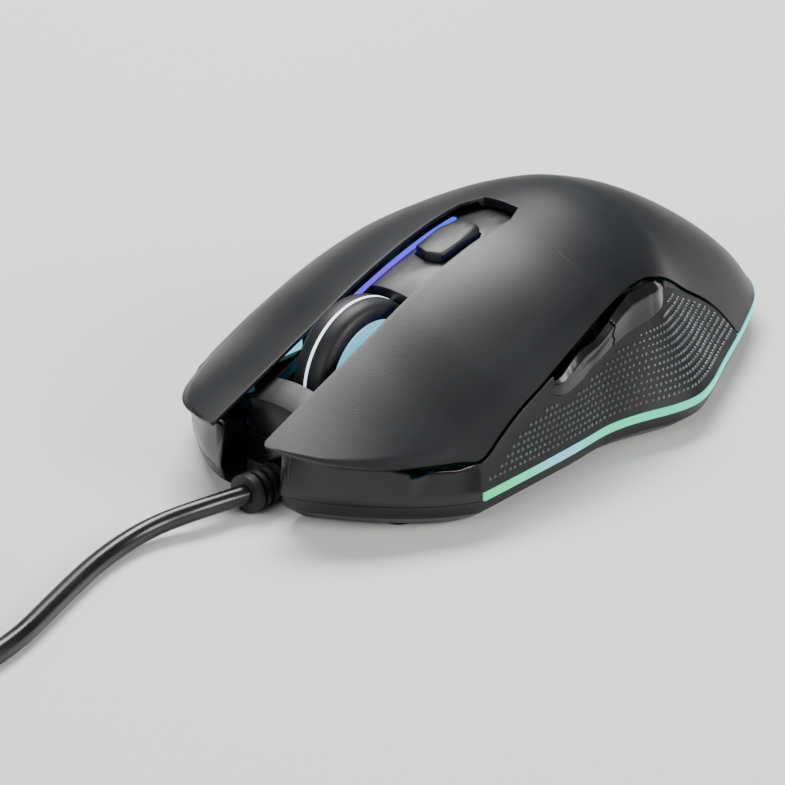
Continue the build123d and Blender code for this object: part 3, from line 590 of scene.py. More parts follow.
# %% [markdown]
# ## The tie of the coil
#
# A hook-and-loop tie is a flat woven strap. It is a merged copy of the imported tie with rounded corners,
# because cloth doesn't turn a sharp corner. Its weave is drawn as two crossed bands of threads, 1 mm apart.


# %% Tie
def strap_finish():
    """Woven nylon: threads along and across, dark, with a soft sheen."""
    material, shader = new_material("woven nylon strap", Sheen_Weight=0.4, Roughness=0.85)
    place = add(material, "TexCoord")
    along = add(material, "TexWave", {"bands_direction": "X"}, Vector=(place, "Object"), Scale=per_mm(3.2))
    across = add(material, "TexWave", {"bands_direction": "Y"}, Vector=(place, "Object"), Scale=per_mm(3.2))
    both = add(material, "Mix", {"data_type": "FLOAT"}, Factor=0.5, A=(along, "Fac"), B=(across, "Fac"))
    shades = add(material, "ValToRGB", Fac=(both, "Result"))
    ramp_stops(shades, [(0.2, linear("#0E0E0F")), (0.8, linear("#2A2A2C"))])
    relief = add(material, "Bump", Height=(both, "Result"), Strength=0.8, Distance=0.1 * MM)
    wire(material, shader, Base_Color=(shades, "Color"), Normal=(relief, "Normal"))
    return material


strap = softened("coil_tie", "strap", 0.6)
finished(strap, "housing", strap_finish(), "tie_fabric", "coil_tie")
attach(cable, "housing")
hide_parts("cable", "cable_coil", "cable_tail")

# %% [markdown]
# ## The upper surface
#
# The shell of the real mouse is one sculpted surface: a long crest from the nose over the hump to the
# tail, from which both sides fall away. It is written down as four smooth curves along the length:
# how high the crest is, how far the side has fallen, how late it falls, and how the side walls lean.
# Every outer piece below is drawn on this surface, so they all meet without a step.

# %% Curves of the body, in millimetres
CREST = [(-66, 12.6), (-61.7, 14.8), (-56.6, 17.1), (-50, 19.9), (-44, 22.4), (-39, 24.4), (-29, 28.6),
         (-18, 32.1), (-8, 34.2), (4, 34.95), (12, 34.9), (20, 33.6), (30, 29.9), (40, 24.5), (50, 17.9),
         (58, 11.3), (61.7, 8.2), (66, 5.0)]
FALL = [(-66, 8), (-48, 13), (-29, 13.3), (-14, 12.8), (0, 12.9), (10, 14.6), (20, 18.5), (30, 22.5),
        (40, 24.5), (50, 24.5), (66, 24)]
LATENESS = [(-66, 1.8), (-20, 1.75), (10, 1.9), (35, 2.15), (66, 2.15)]
LEAN = [(-66, 0.12), (-44, 0.2), (-40, 0.32), (-28, 0.25), (-14, 0.21), (-6, 0.27), (4, 0.48), (12, 0.58),
        (20, 0.6), (40, 0.6), (66, 0.4)]
FLANK = [(31, -39.6), (31.15, -27), (31, -15), (30.8, -7.5), (32.1, -1), (34.2, 5.6), (34.8, 11),
         (33.3, 17), (29.9, 25), (24.4, 38.2), (20.6, 46.4), (17.5, 52), (12.3, 57.6), (6, 60.9), (0, 61.7)]
KEY_NOSE = [(5.4, -61.1), (6.2, -61.6), (10.6, -60.5), (16.2, -57.8), (21.2, -52.8), (25.1, -46.5),
            (27.9, -41.4), (29.5, -38.5)]
SKIN_EDGE = [(29.5, -38.5), (29.2, -33.6), (28.8, -28.4), (28.6, -22.6), (28.1, -16.7), (27.4, -10.8),
             (26.3, -4), (25, 3), (24.4, 8.1), (24.1, 12.7), (23.2, 20.6), (22.9, 27.2), (23.2, 31),
             (24.6, 34.6), (28, 38.5)]
STRIP_TOP = 6.5
SHELL_CEILING = 34      # no side wall rises past this height
CHANNEL_HALF = 5.4
KEY_ROOT = -3.25


def smooth(knots, y):
    """Value at y of the smooth curve through (place, value) knots."""
    last = len(knots) - 1
    i = min(max(bisect_right([k[0] for k in knots], y) - 1, 0), last - 1)

    def slope(k):
        a, b = knots[max(k - 1, 0)], knots[min(k + 1, last)]
        return (b[1] - a[1]) / (b[0] - a[0])

    (y0, v0), (y1, v1) = knots[i], knots[i + 1]
    span = y1 - y0
    t = min(max((y - y0) / span, 0), 1)
    rise = span * ((t - 2) * t + 1) * t * slope(i) + span * (t - 1) * t * t * slope(i + 1)
    return (2 * t - 3) * t * t * (v0 - v1) + v0 + rise


def eased(low, high, value):
    """0 below low, 1 above high, and a soft step between them."""
    share = min(max((value - low) / (high - low), 0), 1)
    return share * share * (3 - 2 * share)


def top_height(x, y):
    """Height of the upper surface."""
    return smooth(CREST, y) - smooth(FALL, y) * (abs(x) / 30) ** smooth(LATENESS, y)


def along(points, t):
    """Point and unit tangent at share t of the smooth curve through the points."""
    s = min(max(t, 0), 1) * (len(points) - 1)
    i = min(int(s), len(points) - 2)
    u = s - i
    p = [Vector(points[min(max(k, 0), len(points) - 1)]) for k in (i - 1, i, i + 1, i + 2)]
    place = 0.5 * ((2 * p[1]) + (p[2] - p[0]) * u + (2 * p[0] - 5 * p[1] + 4 * p[2] - p[3]) * u * u
                   + (3 * p[1] - p[0] - 3 * p[2] + p[3]) * u ** 3)
    heading = 0.5 * ((p[2] - p[0]) + 2 * (2 * p[0] - 5 * p[1] + 4 * p[2] - p[3]) * u
                     + 3 * (3 * p[1] - p[0] - 3 * p[2] + p[3]) * u * u)
    return place, heading.normalized()


def evenly(points, count):
    """Points spaced evenly along the smooth curve, each with its tangent."""
    fine = [along(points, k / 600) for k in range(601)]
    lengths = [0.0]
    for (a, _), (b, _) in zip(fine, fine[1:]):
        lengths.append(lengths[-1] + (b - a).length)
    chosen = []
    for k in range(count):
        want = lengths[-1] * k / (count - 1)
        chosen.append(fine[min(bisect_right(lengths, want), 600)])
    chosen[-1] = fine[-1]
    return chosen


def quilt(name, rows, outward=None):
    """A mesh of quads through rows of points in millimetres, its faces turned to look outward."""
    width = len(rows[0])
    points = [Vector(p) * MM for row in rows for p in row]
    faces = [(r * width + c, r * width + c + 1, (r + 1) * width + c + 1, (r + 1) * width + c)
             for r in range(len(rows) - 1) for c in range(width - 1)]
    piece = mesh_piece(name, points, [], faces)
    on_all_faces(piece, (bpy.ops.mesh.remove_doubles, {"threshold": 0.01 * MM}))
    if outward:
        face_towards(piece, outward)
    return piece


def face_towards(piece, outward):
    """Make the faces of an open skin consistent and turn them towards one direction."""
    on_all_faces(piece, (bpy.ops.mesh.normals_make_consistent, {"inside": False}))
    if sum(face.normal.dot(Vector(outward)) * face.area for face in piece.data.polygons) < 0:
        flipped(piece)


print("crest height", max(height for _, height in CREST), "mm")

# %% [markdown]
# ## The two main keys
#
# A main key is a thin blade. Its wall thins towards the rim, so that from outside only a fine bright edge
# shows over a dark gap. Along the outer side runs a soft crease where the palm surface turns into a flank
# facet. Each key is a quilt of quads between the channel's edge and the outer edge. It gets its thickness
# from a weighted solidify modifier, then both edges of the rim are rounded.

# %% Skin of the keys and the cover
CREASE = [(-66, 21), (-44, 24.8), (-35, 24.2), (-19, 24.3), (-12, 23.9), (-2, 22.5), (8, 20.9), (30, 18)]
CREASE_RISE = [(-66, 0.3), (-30, 0.34), (-10, 0.28), (8, 0.12), (18, 0.0), (66, 0.0)]
EDGE_LINE = sorted((y, x) for x, y in KEY_NOSE[1:] + SKIN_EDGE[1:])
SKIN_WALL = 1.6
RIM_SHARE, RIM_TAPER = 0.36, 2.0


def edge_x(y):
    """Half width of the skin's edge, seen from above."""
    return smooth(EDGE_LINE, y)


def skin_height(x, y):
    """The upper surface with its crease: a low tent between the crest and the edge."""
    fold, edge = smooth(CREASE, y), edge_x(max(min(y, 30), -61))
    side = abs(x)
    inner = min(max(side / fold, 0), 1)
    outer = min(max((edge - side) / max(edge - fold, 2), 0), 1)
    tent = min(inner, outer)
    return top_height(x, y) + smooth(CREASE_RISE, y) * tent * tent * (3 - 2 * tent)


COLUMNS = 44
SHARES = [1 - (1 - c / (COLUMNS - 1)) ** 1.5 for c in range(COLUMNS)]


def key_rows(rows=84):
    """Rows of the thumb-side key, from its root to its nose."""
    outline = [p for p in SKIN_EDGE if p[1] < KEY_ROOT][::-1]
    outline = [(edge_x(KEY_ROOT), KEY_ROOT)] + outline + KEY_NOSE[:-1][::-1]
    outer = [point for point, _ in evenly(outline, rows)]
    quilt_rows = []
    for r, far in enumerate(outer):
        t = r / (rows - 1)
        near = Vector((CHANNEL_HALF, KEY_ROOT + (KEY_NOSE[0][1] - KEY_ROOT) * t))
        row = [near.lerp(far, share) for share in SHARES]
        quilt_rows.append([(x, y, skin_height(x, y)) for x, y in row])
    return quilt_rows


def thin_towards_rim(piece):
    """Weight the wall's thickness: thin at the outer edge and at the channel, full further in."""
    group = piece.vertex_groups.new(name="wall")
    for vertex in piece.data.vertices:
        x, y = abs(vertex.co.x) / MM, vertex.co.y / MM
        beside_channel = x - CHANNEL_HALF if y < 0 else RIM_TAPER
        inside = min(beside_channel, (edge_x(y) - x) * 0.8 if y < 30 else RIM_TAPER)
        share = min(max(inside / RIM_TAPER, 0), 1)
        group.add([vertex.index], RIM_SHARE + (1 - RIM_SHARE) * share, "REPLACE")


def thickened(piece, wall, keep_open):
    """Give the skin its wall, thin at the rim, and round both edges of the rim."""
    thin_towards_rim(piece)
    modify(piece, "SOLIDIFY", thickness=wall * MM, offset=-1, vertex_group="wall")
    round_edges(piece, lambda e: rim_edge(e, True) and not keep_open(e), 0.16, 3)
    round_edges(piece, lambda e: rim_edge(e, False) and not keep_open(e), 0.12, 1)
    smooth_shade(piece, 40)


def rim_edge(edge, upper):
    """True for a sharp edge between the rim and the upper (or the lower) face of a skin."""
    if len(edge.link_faces) != 2 or edge.calc_face_angle(0) < radians(50):
        return False
    heights = sorted(face.normal.z for face in edge.link_faces)
    return heights[1] > 0.45 if upper else heights[0] < -0.45


def at_root(edge):
    return all(abs(v.co.y - KEY_ROOT * MM) < 0.02 * MM for v in edge.verts)


def mirrored(piece, name):
    """A copy of the piece for the other side, with its own mesh."""
    twin = in_scene(name, piece.data.copy())
    twin.scale = (-1, 1, 1)
    bake_place(twin)
    right_side_out(twin)
    return twin


left_key = quilt("left_key_skin", key_rows(), outward=(0, 0, 1))
thickened(left_key, SKIN_WALL, at_root)
right_key = mirrored(left_key, "right_key_skin")
print("key faces", len(left_key.data.polygons))

# %% [markdown]
# A rib under each key reaches down to its switch. It belongs to the key and moves with it.


# %% Switch ribs of the keys
SWITCH_X, SWITCH_Y, RIB_Z = 14, -46, 14.8
RIB_SIZE = (3, 2.4, 3.9)


def switch_rib(side):
    """A stiff rib that tapers down to the plunger of the key's switch."""
    rib = block((side * SWITCH_X, SWITCH_Y, RIB_Z), RIB_SIZE)
    in_edit_mode(rib, "FACE", lambda face: face.normal.z < -0.9)
    bpy.ops.mesh.inset(thickness=0.35 * MM)
    leave_edit_mode()
    modify(rib, "BEVEL", width=0.25 * MM, segments=2)
    return rib


left_key = joined([left_key, switch_rib(1)], "left_key_shell")
right_key = joined([right_key, switch_rib(-1)], "right_key_shell")
for key, body in ((left_key, "left_key"), (right_key, "right_key")):
    key.data.materials.clear()
    key.data.materials.append(soft_touch)
    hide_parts(body)
    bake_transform(key)

# %% [markdown]
# ## The palm cover
#
# The cover carries on where the keys end, so no seam shows between them. Towards the tail its side turns
# down into a leaning wall that meets the light strip. The turn is rounded by blending the two heights
# and by smoothing the rear of the quilt in edit mode.


# %% Palm cover
FLANK_LINE = evenly(FLANK, 420)
CORNER_SOFTNESS = 3.0
TURN_STARTS, TURN_ENDS = 8, 24          # where the side begins to turn down, and where it has turned
RIM_ENDS, STRIP_TAKES_OVER = 28, 38     # between these the cover's edge moves from the rim to the strip
SEAM_BAND = 1.8
FRONT_STATIONS, TAIL_STATIONS = 56, 46
NOTCH_CORNER_X, NOTCH_END_Y, TAIL_END_Y = 3.7, 0.75, 61.7
SMOOTHED_BEHIND = ((19, 45), (12, 8), (6, 4))   # (place along the mouse in millimetres, rounds)


def wall_height(x, y):
    """Height of the leaning side wall over a place inside the outline."""
    point, heading = min(FLANK_LINE, key=lambda item: (item[0].x - x) ** 2 + (item[0].y - y) ** 2)
    inside = (x - point.x) * -heading.y + (y - point.y) * heading.x
    return STRIP_TOP + 0.05 + max(inside, 0) / smooth(LEAN, point.y)


def cover_height(x, y):
    """The lower of the upper surface and the wall, rounded where they meet, but true at the edge."""
    top, wall = skin_height(x, y), wall_height(x, y)
    beside_rim = max(edge_x(min(y, 38)) - abs(x), 0) * 0.8
    over_strip = (wall - STRIP_TOP) * 0.95
    room = beside_rim + (over_strip - beside_rim) * eased(RIM_ENDS, STRIP_TAKES_OVER, y)
    soft = min(0.2 + max(room, 0), CORNER_SOFTNESS)
    mix = min(max(0.5 + 0.5 * (wall - top) / soft, 0), 1)
    lower = wall + (top - wall) * mix - soft * mix * (1 - mix)
    return top + (lower - top) * eased(TURN_STARTS, TURN_ENDS, y)


def cover_outline():
    """The cover's outer edge: along the skin's edge, then down to the strip and round the tail."""
    side = [(edge_x(KEY_ROOT), KEY_ROOT)] + [p for p in SKIN_EDGE if KEY_ROOT < p[1] < 32]
    meeting = (25.35, 35.9)
    tail_line = [meeting] + [p for p in FLANK if p[1] > 37]
    front = [point for point, _ in evenly(side + [(24.0, 33.6), meeting], FRONT_STATIONS)]
    rear = [point for point, _ in evenly(tail_line, TAIL_STATIONS)]
    return front + rear[1:]


def cover_rows():
    """Rows of the cover's thumb half, from the key's root to the middle of the tail."""
    outer = cover_outline()
    corner, end = Vector((NOTCH_CORNER_X, NOTCH_END_Y)), Vector((0, NOTCH_END_Y))
    notch = [Vector((CHANNEL_HALF, KEY_ROOT)).lerp(corner, k / 7) for k in range(8)]
    notch += [corner.lerp(end, k / 6) for k in range(1, 7)]
    rest, run = len(outer) - len(notch), TAIL_END_Y - NOTCH_END_Y
    middle = notch + [Vector((0, NOTCH_END_Y + run * (k / rest) ** 0.9)) for k in range(1, rest + 1)]
    rows = []
    for near, far in zip(middle, outer):
        row = [near.lerp(far, share) for share in SHARES]
        rows.append([(x, y, cover_height(x, y)) for x, y in row])
    return rows


def fixed_edge(edge):
    """Edges that are left sharp: the shared line with the keys, the middle, and the strip's seam."""
    middle = all(abs(v.co.x) < 0.02 * MM for v in edge.verts)
    return at_root(edge) or middle or all(v.co.z < (STRIP_TOP + SEAM_BAND) * MM for v in edge.verts)


palm = quilt("palm_cover", cover_rows())
modify(palm, "MIRROR", use_axis=(True, False, False), merge_threshold=0.02 * MM)
face_towards(palm, (0, 0, 1))
for start_mm, rounds in SMOOTHED_BEHIND:
    in_edit_mode(palm, "VERT", lambda v: v.co.y > start_mm * MM and not v.is_boundary)
    bpy.ops.mesh.vertices_smooth(factor=0.5, repeat=rounds)
    leave_edit_mode()
thickened(palm, SKIN_WALL, fixed_edge)
finished(palm, "housing", soft_touch, "cover_plastic", "top_cover")

# %% [markdown]
# ## Side panels
#
# A panel is the leaning wall between the light strip and the skin's edge. Its upper edge runs just
# outside the skin, and on the thumb side it dips under the two buttons. It is drawn on the same outline
# as the strip, leaned in as it rises. Its wall runs through closed sections: up outside, over a thin
# upright lip beside the skin, and down inside. A lining stands behind the buttons' opening.


# %% Walls
PANEL_FOOT = STRIP_TOP + 0.05
PANEL_WALL = 1.5
PANEL_STEPS = 13
RIM_CLEARANCE, LIP, LIP_DROP, LIP_UNDER = 0.45, 0.28, 2.2, 0.2
LINING_FOOT, LINING_DEPTH, LINING_ROOF, LINING_WALL = 13.0, 3.0, 2.9, 0.8
BUTTON_TOP = [(-21.4, 18.6), (-14.5, 20.8), (-7.8, 22.6), (0.9, 24.8), (5.6, 25.2), (10.8, 24.5),
              (14.5, 23)]
BUTTON_LOW = [(-21.4, 18.6), (-20.7, 16.4), (-20, 15.6), (-17.4, 15.2), (-12.9, 16.1), (-7.4, 17.4),
              (-4.3, 18.4), (-0.2, 19.2), (3.8, 19.6), (8, 20.2), (10.9, 20.8), (13.4, 21.9), (14.5, 23)]
BUTTON_SPLIT = [(17.4, -4.6), (19.4, -3.8), (20.3, -4.2), (21.8, -3.8), (23, -4.6), (24.6, -6.2)]
BUTTON_FRONT, BUTTON_REAR = BUTTON_TOP[0][0], BUTTON_TOP[-1][0]


def wall_point(station, height, proud=0.0):
    """Place on the leaning wall above one point of the outline, and the wall's outward direction."""
    point, heading = station
    inward = Vector((-heading.y, heading.x))
    lean = smooth(LEAN, point.y)
    place = point + inward * ((height - STRIP_TOP) * lean - proud)
    outward = Vector((-inward.x, -inward.y, lean)).normalized()
    return Vector((place.x, place.y, height)), outward


def wall_at(y, height, proud=0.0):
    """The same for a place along the mouse: the station is searched, because leaning shifts it."""
    low, high = 0, len(FLANK_LINE) - 1
    while high - low > 1:
        middle = (low + high) // 2
        if wall_point(FLANK_LINE[middle], height, proud)[0].y < y:
            low = middle
        else:
            high = middle
    a, outward = wall_point(FLANK_LINE[low], height, proud)
    b, _ = wall_point(FLANK_LINE[high], height, proud)
    share = min(max((y - a.y) / max(b.y - a.y, 1e-6), 0), 1)
    return a.lerp(b, share), outward


def height_under_edge(station, clearance, proud=0.0):
    """How high the wall rises before it comes within the clearance of the skin's edge."""
    height = PANEL_FOOT
    while height < SHELL_CEILING:
        place, _ = wall_point(station, height + 0.1, proud)
        if place.x < edge_x(place.y) + clearance:
            break
        height += 0.1
    return height


def panel_top(station, with_buttons):
    """Upper edge of the panel over one point of the outline."""
    top = height_under_edge(station, RIM_CLEARANCE)
    if with_buttons:
        place, _ = wall_point(station, top)
        for _ in range(6):
            if BUTTON_FRONT < place.y < BUTTON_REAR:
                place, _ = wall_point(station, min(top, smooth(BUTTON_LOW, place.y) - 0.15))
        if BUTTON_FRONT < place.y < BUTTON_REAR:
            top = min(top, place.z)
    return top


def lip_height(station, top):
    """The panel's edge turns upright beside the skin's rim; over a button it ends where the wall ends."""
    place, _ = wall_point(station, top)
    beside_rim = place.x < edge_x(place.y) + RIM_CLEARANCE + 0.15
    rim = cover_height(place.x, place.y) - LIP_UNDER if beside_rim else top
    return max(top + 0.05, rim)


def panel_section(station, top):
    """Closed section of the panel: up the outer face, up and over a thin upright lip, and down inside."""
    outer = [wall_point(station, PANEL_FOOT + (top - PANEL_FOOT) * c / PANEL_STEPS)[0]
             for c in range(PANEL_STEPS + 1)]
    lip_out, lip_in = wall_point(station, top)[0], wall_point(station, top, -LIP)[0]
    lip_out.z = lip_in.z = lip_height(station, top)
    drop = min(LIP_DROP, (top - PANEL_FOOT) * 0.6)
    inner = [wall_point(station, height, -PANEL_WALL)[0] for height in (top - drop, PANEL_FOOT)]
    return outer + [lip_out, lip_in] + inner


def panel_shell(name, with_buttons):
    """One side panel: a section at every second station."""
    sections = []
    for station in FLANK_LINE[::2]:
        top = panel_top(station, with_buttons)
        if top > PANEL_FOOT + 0.4:
            sections.append(panel_section(station, top))
    return wall_through(name, sections)


def wall_through(name, sections):
    """A solid wall through closed sections, capped at both ends, with rounded rims."""
    wall = quilt(name, [section + section[:1] for section in sections])
    in_edit_mode(wall, "EDGE", lambda edge: edge.is_boundary)
    bpy.ops.mesh.edge_face_add()
    leave_edit_mode()
    on_all_faces(wall, (bpy.ops.mesh.normals_make_consistent, {"inside": False}))
    round_edges(wall, rim_face_edge, 0.14, 2)
    return wall


def rim_face_edge(edge):
    return len(edge.link_faces) == 2 and edge.calc_face_angle(0) > radians(55)


def lining(name):
    """The inner wall of the thumb panel, behind the buttons: it keeps dust and light in."""
    rows = []
    for station in FLANK_LINE[::3]:
        low = wall_point(station, LINING_FOOT, -LINING_DEPTH)[0]
        if BUTTON_FRONT - 3 < low.y < BUTTON_REAR + 4:
            high = LINING_FOOT
            place = low
            while high < SHELL_CEILING and place.z < top_height(place.x, place.y) - LINING_ROOF:
                high += 0.2
                place = wall_point(station, high, -LINING_DEPTH)[0]
            rows.append([wall_point(station, LINING_FOOT + (high - LINING_FOOT) * c / 8, -LINING_DEPTH)[0]
                         for c in range(9)])
    wall = quilt(name, rows)
    modify(wall, "SOLIDIFY", thickness=LINING_WALL * MM, offset=0)
    return wall


# %% [markdown]
# ## Nose wall
#
# Under the overhanging keys stands a gloss wall. It keeps clear of the keys while they are pressed, rises
# to their rim at the front corners, and turns back at both sides of the cable notch. A flange behind its
# top edge hides the inside. Its sections are drawn like the panel's. Three thin blocks line the notch.

# %% Nose wall
NOSE = [(6.5, -59.1), (7.5, -58.9), (13, -56.8), (18.4, -53.5), (22.6, -50.2), (26.5, -46.4), (29, -43.2),
        (31, -39.6)]
NOSE_FOOT = 5.15
NOSE_WALL = 2.0
UNDER_KEY = 0.95        # how far the wall's top stays below the key, more than the key's travel
FLANGE, FLANGE_DROP, FLANGE_WALL = 4.0, 1.1, 0.7
FLANGE_ROOT = 1.5
CORNER_RUN = 1.6
NOTCH_HALF, NOTCH_FRONT, NOTCH_REAR = 6.5, -58.6, -53.5
NOTCH_WALL, NOTCH_TOP, NOTCH_BACK_TOP = 1.6, 12.6, 10.3


def nose_section(station):
    """Closed section of the nose wall at one point of its outline."""
    foot, _ = wall_point(station, STRIP_TOP)
    outside = foot.x - edge_x(foot.y) - RIM_CLEARANCE
    blade = RIM_SHARE + (1 - RIM_SHARE) * min(max(-outside * 0.7 / RIM_TAPER, 0), 1)
    share = eased(0, CORNER_RUN, outside)
    under = LIP_UNDER * share + (blade * SKIN_WALL + UNDER_KEY) * (1 - share)
    lean_end = height_under_edge(station, RIM_CLEARANCE) if outside > 0 else SHELL_CEILING
    top = 10
    for _ in range(8):
        place, _ = wall_point(station, min(top, lean_end))
        top = skin_height(place.x, place.y) - under

    def upright(height, proud):
        place, _ = wall_point(station, min(max(height, STRIP_TOP), lean_end), proud)
        return Vector((place.x, place.y, height))

    outer = [upright(NOSE_FOOT + (top - NOSE_FOOT) * c / 14, 0) for c in range(15)]
    inner_edge = [upright(top - FLANGE_DROP, -FLANGE), upright(top - FLANGE_DROP - FLANGE_WALL, -FLANGE)]
    root = [upright(top - FLANGE_DROP - FLANGE_ROOT, -NOSE_WALL), upright(NOSE_FOOT, -NOSE_WALL)]
    return outer + [upright(top, -LIP)] + inner_edge + root


def notch_block(low, high):
    """One thin wall of the cable notch, given by two opposite corners."""
    low, high = Vector(low), Vector(high)
    wall = block((low + high) / 2, high - low)
    modify(wall, "BEVEL", width=0.15 * MM, segments=2)
    return wall


thumb_nose = wall_through("thumb_nose", [nose_section(station) for station in evenly(NOSE, 70)])
far_nose = mirrored(thumb_nose, "far_nose")
notch_outer, notch_back = NOTCH_HALF + NOTCH_WALL, NOTCH_REAR + NOTCH_WALL
notch_walls = [
    notch_block((NOTCH_HALF, NOTCH_FRONT, NOSE_FOOT), (notch_outer, notch_back, NOTCH_TOP)),
    notch_block((-notch_outer, NOTCH_FRONT, NOSE_FOOT), (-NOTCH_HALF, notch_back, NOTCH_TOP)),
    notch_block((-notch_outer, NOTCH_REAR, NOSE_FOOT + 0.3), (notch_outer, notch_back, NOTCH_BACK_TOP))]
nose_wall = joined([thumb_nose, far_nose] + notch_walls, "nose_wall")
smooth_shade(nose_wall, 30)
finished(nose_wall, "housing", polished, "gloss_plastic", "nose_bumper")

# %% [markdown]
# The grip is a field of small four-sided studs in staggered rows that follow the light strip. They stop
# short of the strip, of the panel's front and of its upper edge. One stud is modelled as a cone with four
# sides and a small flat top, and copied to every place of the field, square to the wall there.

# %% Grip studs
STUD_PITCH, STUD_ROW, STUD_HEIGHT = 1.15, 1.0, 0.3
STUD_MARGIN_LOW, STUD_MARGIN_TOP, STUD_MARGIN_END = 1.5, 1.3, 1.8
STUD_ROWS, STUD_REAR, STUD_SUNK = 30, 33.5, 0.04

bpy.ops.mesh.primitive_cone_add(vertices=4, radius1=0.34, radius2=0.14, depth=STUD_HEIGHT,
                                end_fill_type="TRIFAN")
stud = bpy.context.object
stud.rotation_euler = (0, 0, radians(45))
stud.scale = (1.35, 0.85, 1)
bake_place(stud)
STUD_POINTS = [v.co.copy() for v in stud.data.vertices]
STUD_FACES = [tuple(face.vertices) for face in stud.data.polygons if face.normal.z > -0.9]
bpy.data.objects.remove(stud)


def stud_places(with_buttons):
    """Where the studs stand: rows up the wall, each shifted by half a pitch against the last."""
    steps = [0.0]
    for (a, _), (b, _) in zip(FLANK_LINE, FLANK_LINE[1:]):
        steps.append(steps[-1] + (b - a).length)
    places = []
    for row in range(STUD_ROWS):
        height = PANEL_FOOT + STUD_MARGIN_LOW + row * STUD_ROW
        run = STUD_MARGIN_END + (row % 2) * STUD_PITCH / 2
        while run < steps[-1]:
            station = FLANK_LINE[min(bisect_right(steps, run), len(FLANK_LINE) - 1)]
            place, outward = wall_point(station, height)
            if place.y > STUD_REAR:
                break
            if height < panel_top(station, with_buttons) - STUD_MARGIN_TOP:
                places.append((place, outward, station[1]))
            run += STUD_PITCH
    return places


def stud_field(name, with_buttons):
    """All studs of one panel as one mesh."""
    points, faces = [], []
    for place, outward, heading in stud_places(with_buttons):
        ahead = Vector((heading.x, heading.y, 0)).normalized()
        up = outward.cross(ahead)
        start = len(points)
        foot = place + outward * (STUD_HEIGHT / 2 - STUD_SUNK)
        points += [(foot + ahead * p.x + up * p.y + outward * p.z) * MM for p in STUD_POINTS]
        faces += [tuple(start + i for i in face) for face in STUD_FACES]
    field = mesh_piece(name, points, [], faces)
    print(name, len(faces) // len(STUD_FACES), "studs")
    return field


thumb_panel = joined([panel_shell("thumb_panel", True), lining("thumb_lining")], "thumb_grip_panel")
smooth_shade(thumb_panel, 22)
finished(thumb_panel, "housing", eroded, "panel_plastic", "thumb_side_panel")
# The studs get the lighter grey of painted highlight.
finished(stud_field("thumb_grip_studs", True), "housing", stud_highlight_paint, "panel_plastic", "thumb_side_panel")


def on_far_side(plain, name):
    """The mirror image of a piece; the piece itself goes."""
    twin = mirrored(plain, name)
    bpy.data.objects.remove(plain)
    return twin


far_panel = on_far_side(panel_shell("far_panel_model", False), "far_grip_panel")
smooth_shade(far_panel, 22)
finished(far_panel, "housing", eroded, "panel_plastic", "far_side_panel")
# The far studs get the same painted highlight grey.
far_studs = on_far_side(stud_field("far_studs_model", False), "far_grip_studs")
finished(far_studs, "housing", stud_highlight_paint, "panel_plastic", "far_side_panel")

# %% [markdown]
# ## Thumb buttons
#
# The two thumb buttons are one long gloss bar, split by an S-shaped line. A ridge runs along the bar: the
# broad face below it looks down and out, the narrow facet above it leans back to the shell. Each button is
# a quilt between its own ends, raised from the wall by that profile, then thickened and rounded.

# %% Buttons
RIDGE_PROFILE = [(0.0, 0.3), (0.35, 0.7), (0.68, 1.2), (0.76, 1.22), (1.0, 0.8)]
STEM_START, STEM_SIDE = 22.05, 2.0
FRONT_STEM, REAR_STEM = (-13.0, 18.3, 27.2), (5.0, 20.9, 26.2)   # place along, height, reach
FRONT_INSET, REAR_INSET = 0.7, 1.1
CAP_WALL = 0.9
BUTTON_CLEARANCE = 0.95
BUTTON_GAP = 0.22
END_ROUND = 2.4


def button_profile(share):
    """How proud the button stands at a share of its height, with straight faces and a tight ridge."""
    for (s0, p0), (s1, p1) in zip(RIDGE_PROFILE, RIDGE_PROFILE[1:]):
        if share <= s1:
            return p0 + (p1 - p0) * (share - s0) / (s1 - s0)
    return RIDGE_PROFILE[-1][1]


def button_ceiling(y):
    """Highest place of a button: its own outline, or the clearance under the skin's edge."""
    ceiling = smooth(BUTTON_TOP, y)
    while ceiling > 12:
        place, _ = wall_at(y, ceiling, RIDGE_PROFILE[-1][1])
        if place.x > edge_x(y) + BUTTON_CLEARANCE:
            break
        ceiling -= 0.1
    return ceiling


def split_y(height):
    return smooth(BUTTON_SPLIT, height)


def button_rows(front, rows=40, columns=22):
    """Rows from one end of a button to the other; the split bends the rows next to it."""
    far_end = BUTTON_FRONT + FRONT_INSET if front else BUTTON_REAR - REAR_INSET
    side = -BUTTON_GAP if front else BUTTON_GAP
    quilt_rows = []
    for r in range(rows):
        t = r / (rows - 1)
        row = []
        for c in range(columns):
            share = c / (columns - 1)
            y, height = far_end, 20
            for _ in range(4):
                near = split_y(height) + side
                y = far_end + (near - far_end) * t
                low, high = smooth(BUTTON_LOW, y) + 0.1, button_ceiling(y)
                height = low + (max(high, low + 0.3) - low) * share
            end = min(abs(y - far_end) / END_ROUND, 1)
            proud = button_profile(share) * (0.12 + 0.88 * sin(end * pi / 2))
            row.append(wall_at(y, height, proud)[0])
        quilt_rows.append(row)
    return quilt_rows


def thumb_button(name, front):
    """One button cap with its stem to the switch."""
    cap = quilt(name, button_rows(front), outward=(1, 0, 0))
    modify(cap, "SOLIDIFY", thickness=CAP_WALL * MM, offset=-1)
    round_edges(cap, rim_face_edge, 0.14, 3)
    y, z, reach = FRONT_STEM if front else REAR_STEM
    stem = block(((STEM_START + reach) / 2, y, z), (reach - STEM_START, STEM_SIDE, STEM_SIDE))
    modify(stem, "BEVEL", width=0.2 * MM, segments=2)
    cap = joined([cap, stem], name)
    smooth_shade(cap, 24)
    return cap


for name, body, front in (("forward_cap", "forward_button", True), ("back_cap", "back_button", False)):
    finished(thumb_button(name, front), body, polished, "gloss_plastic", body)

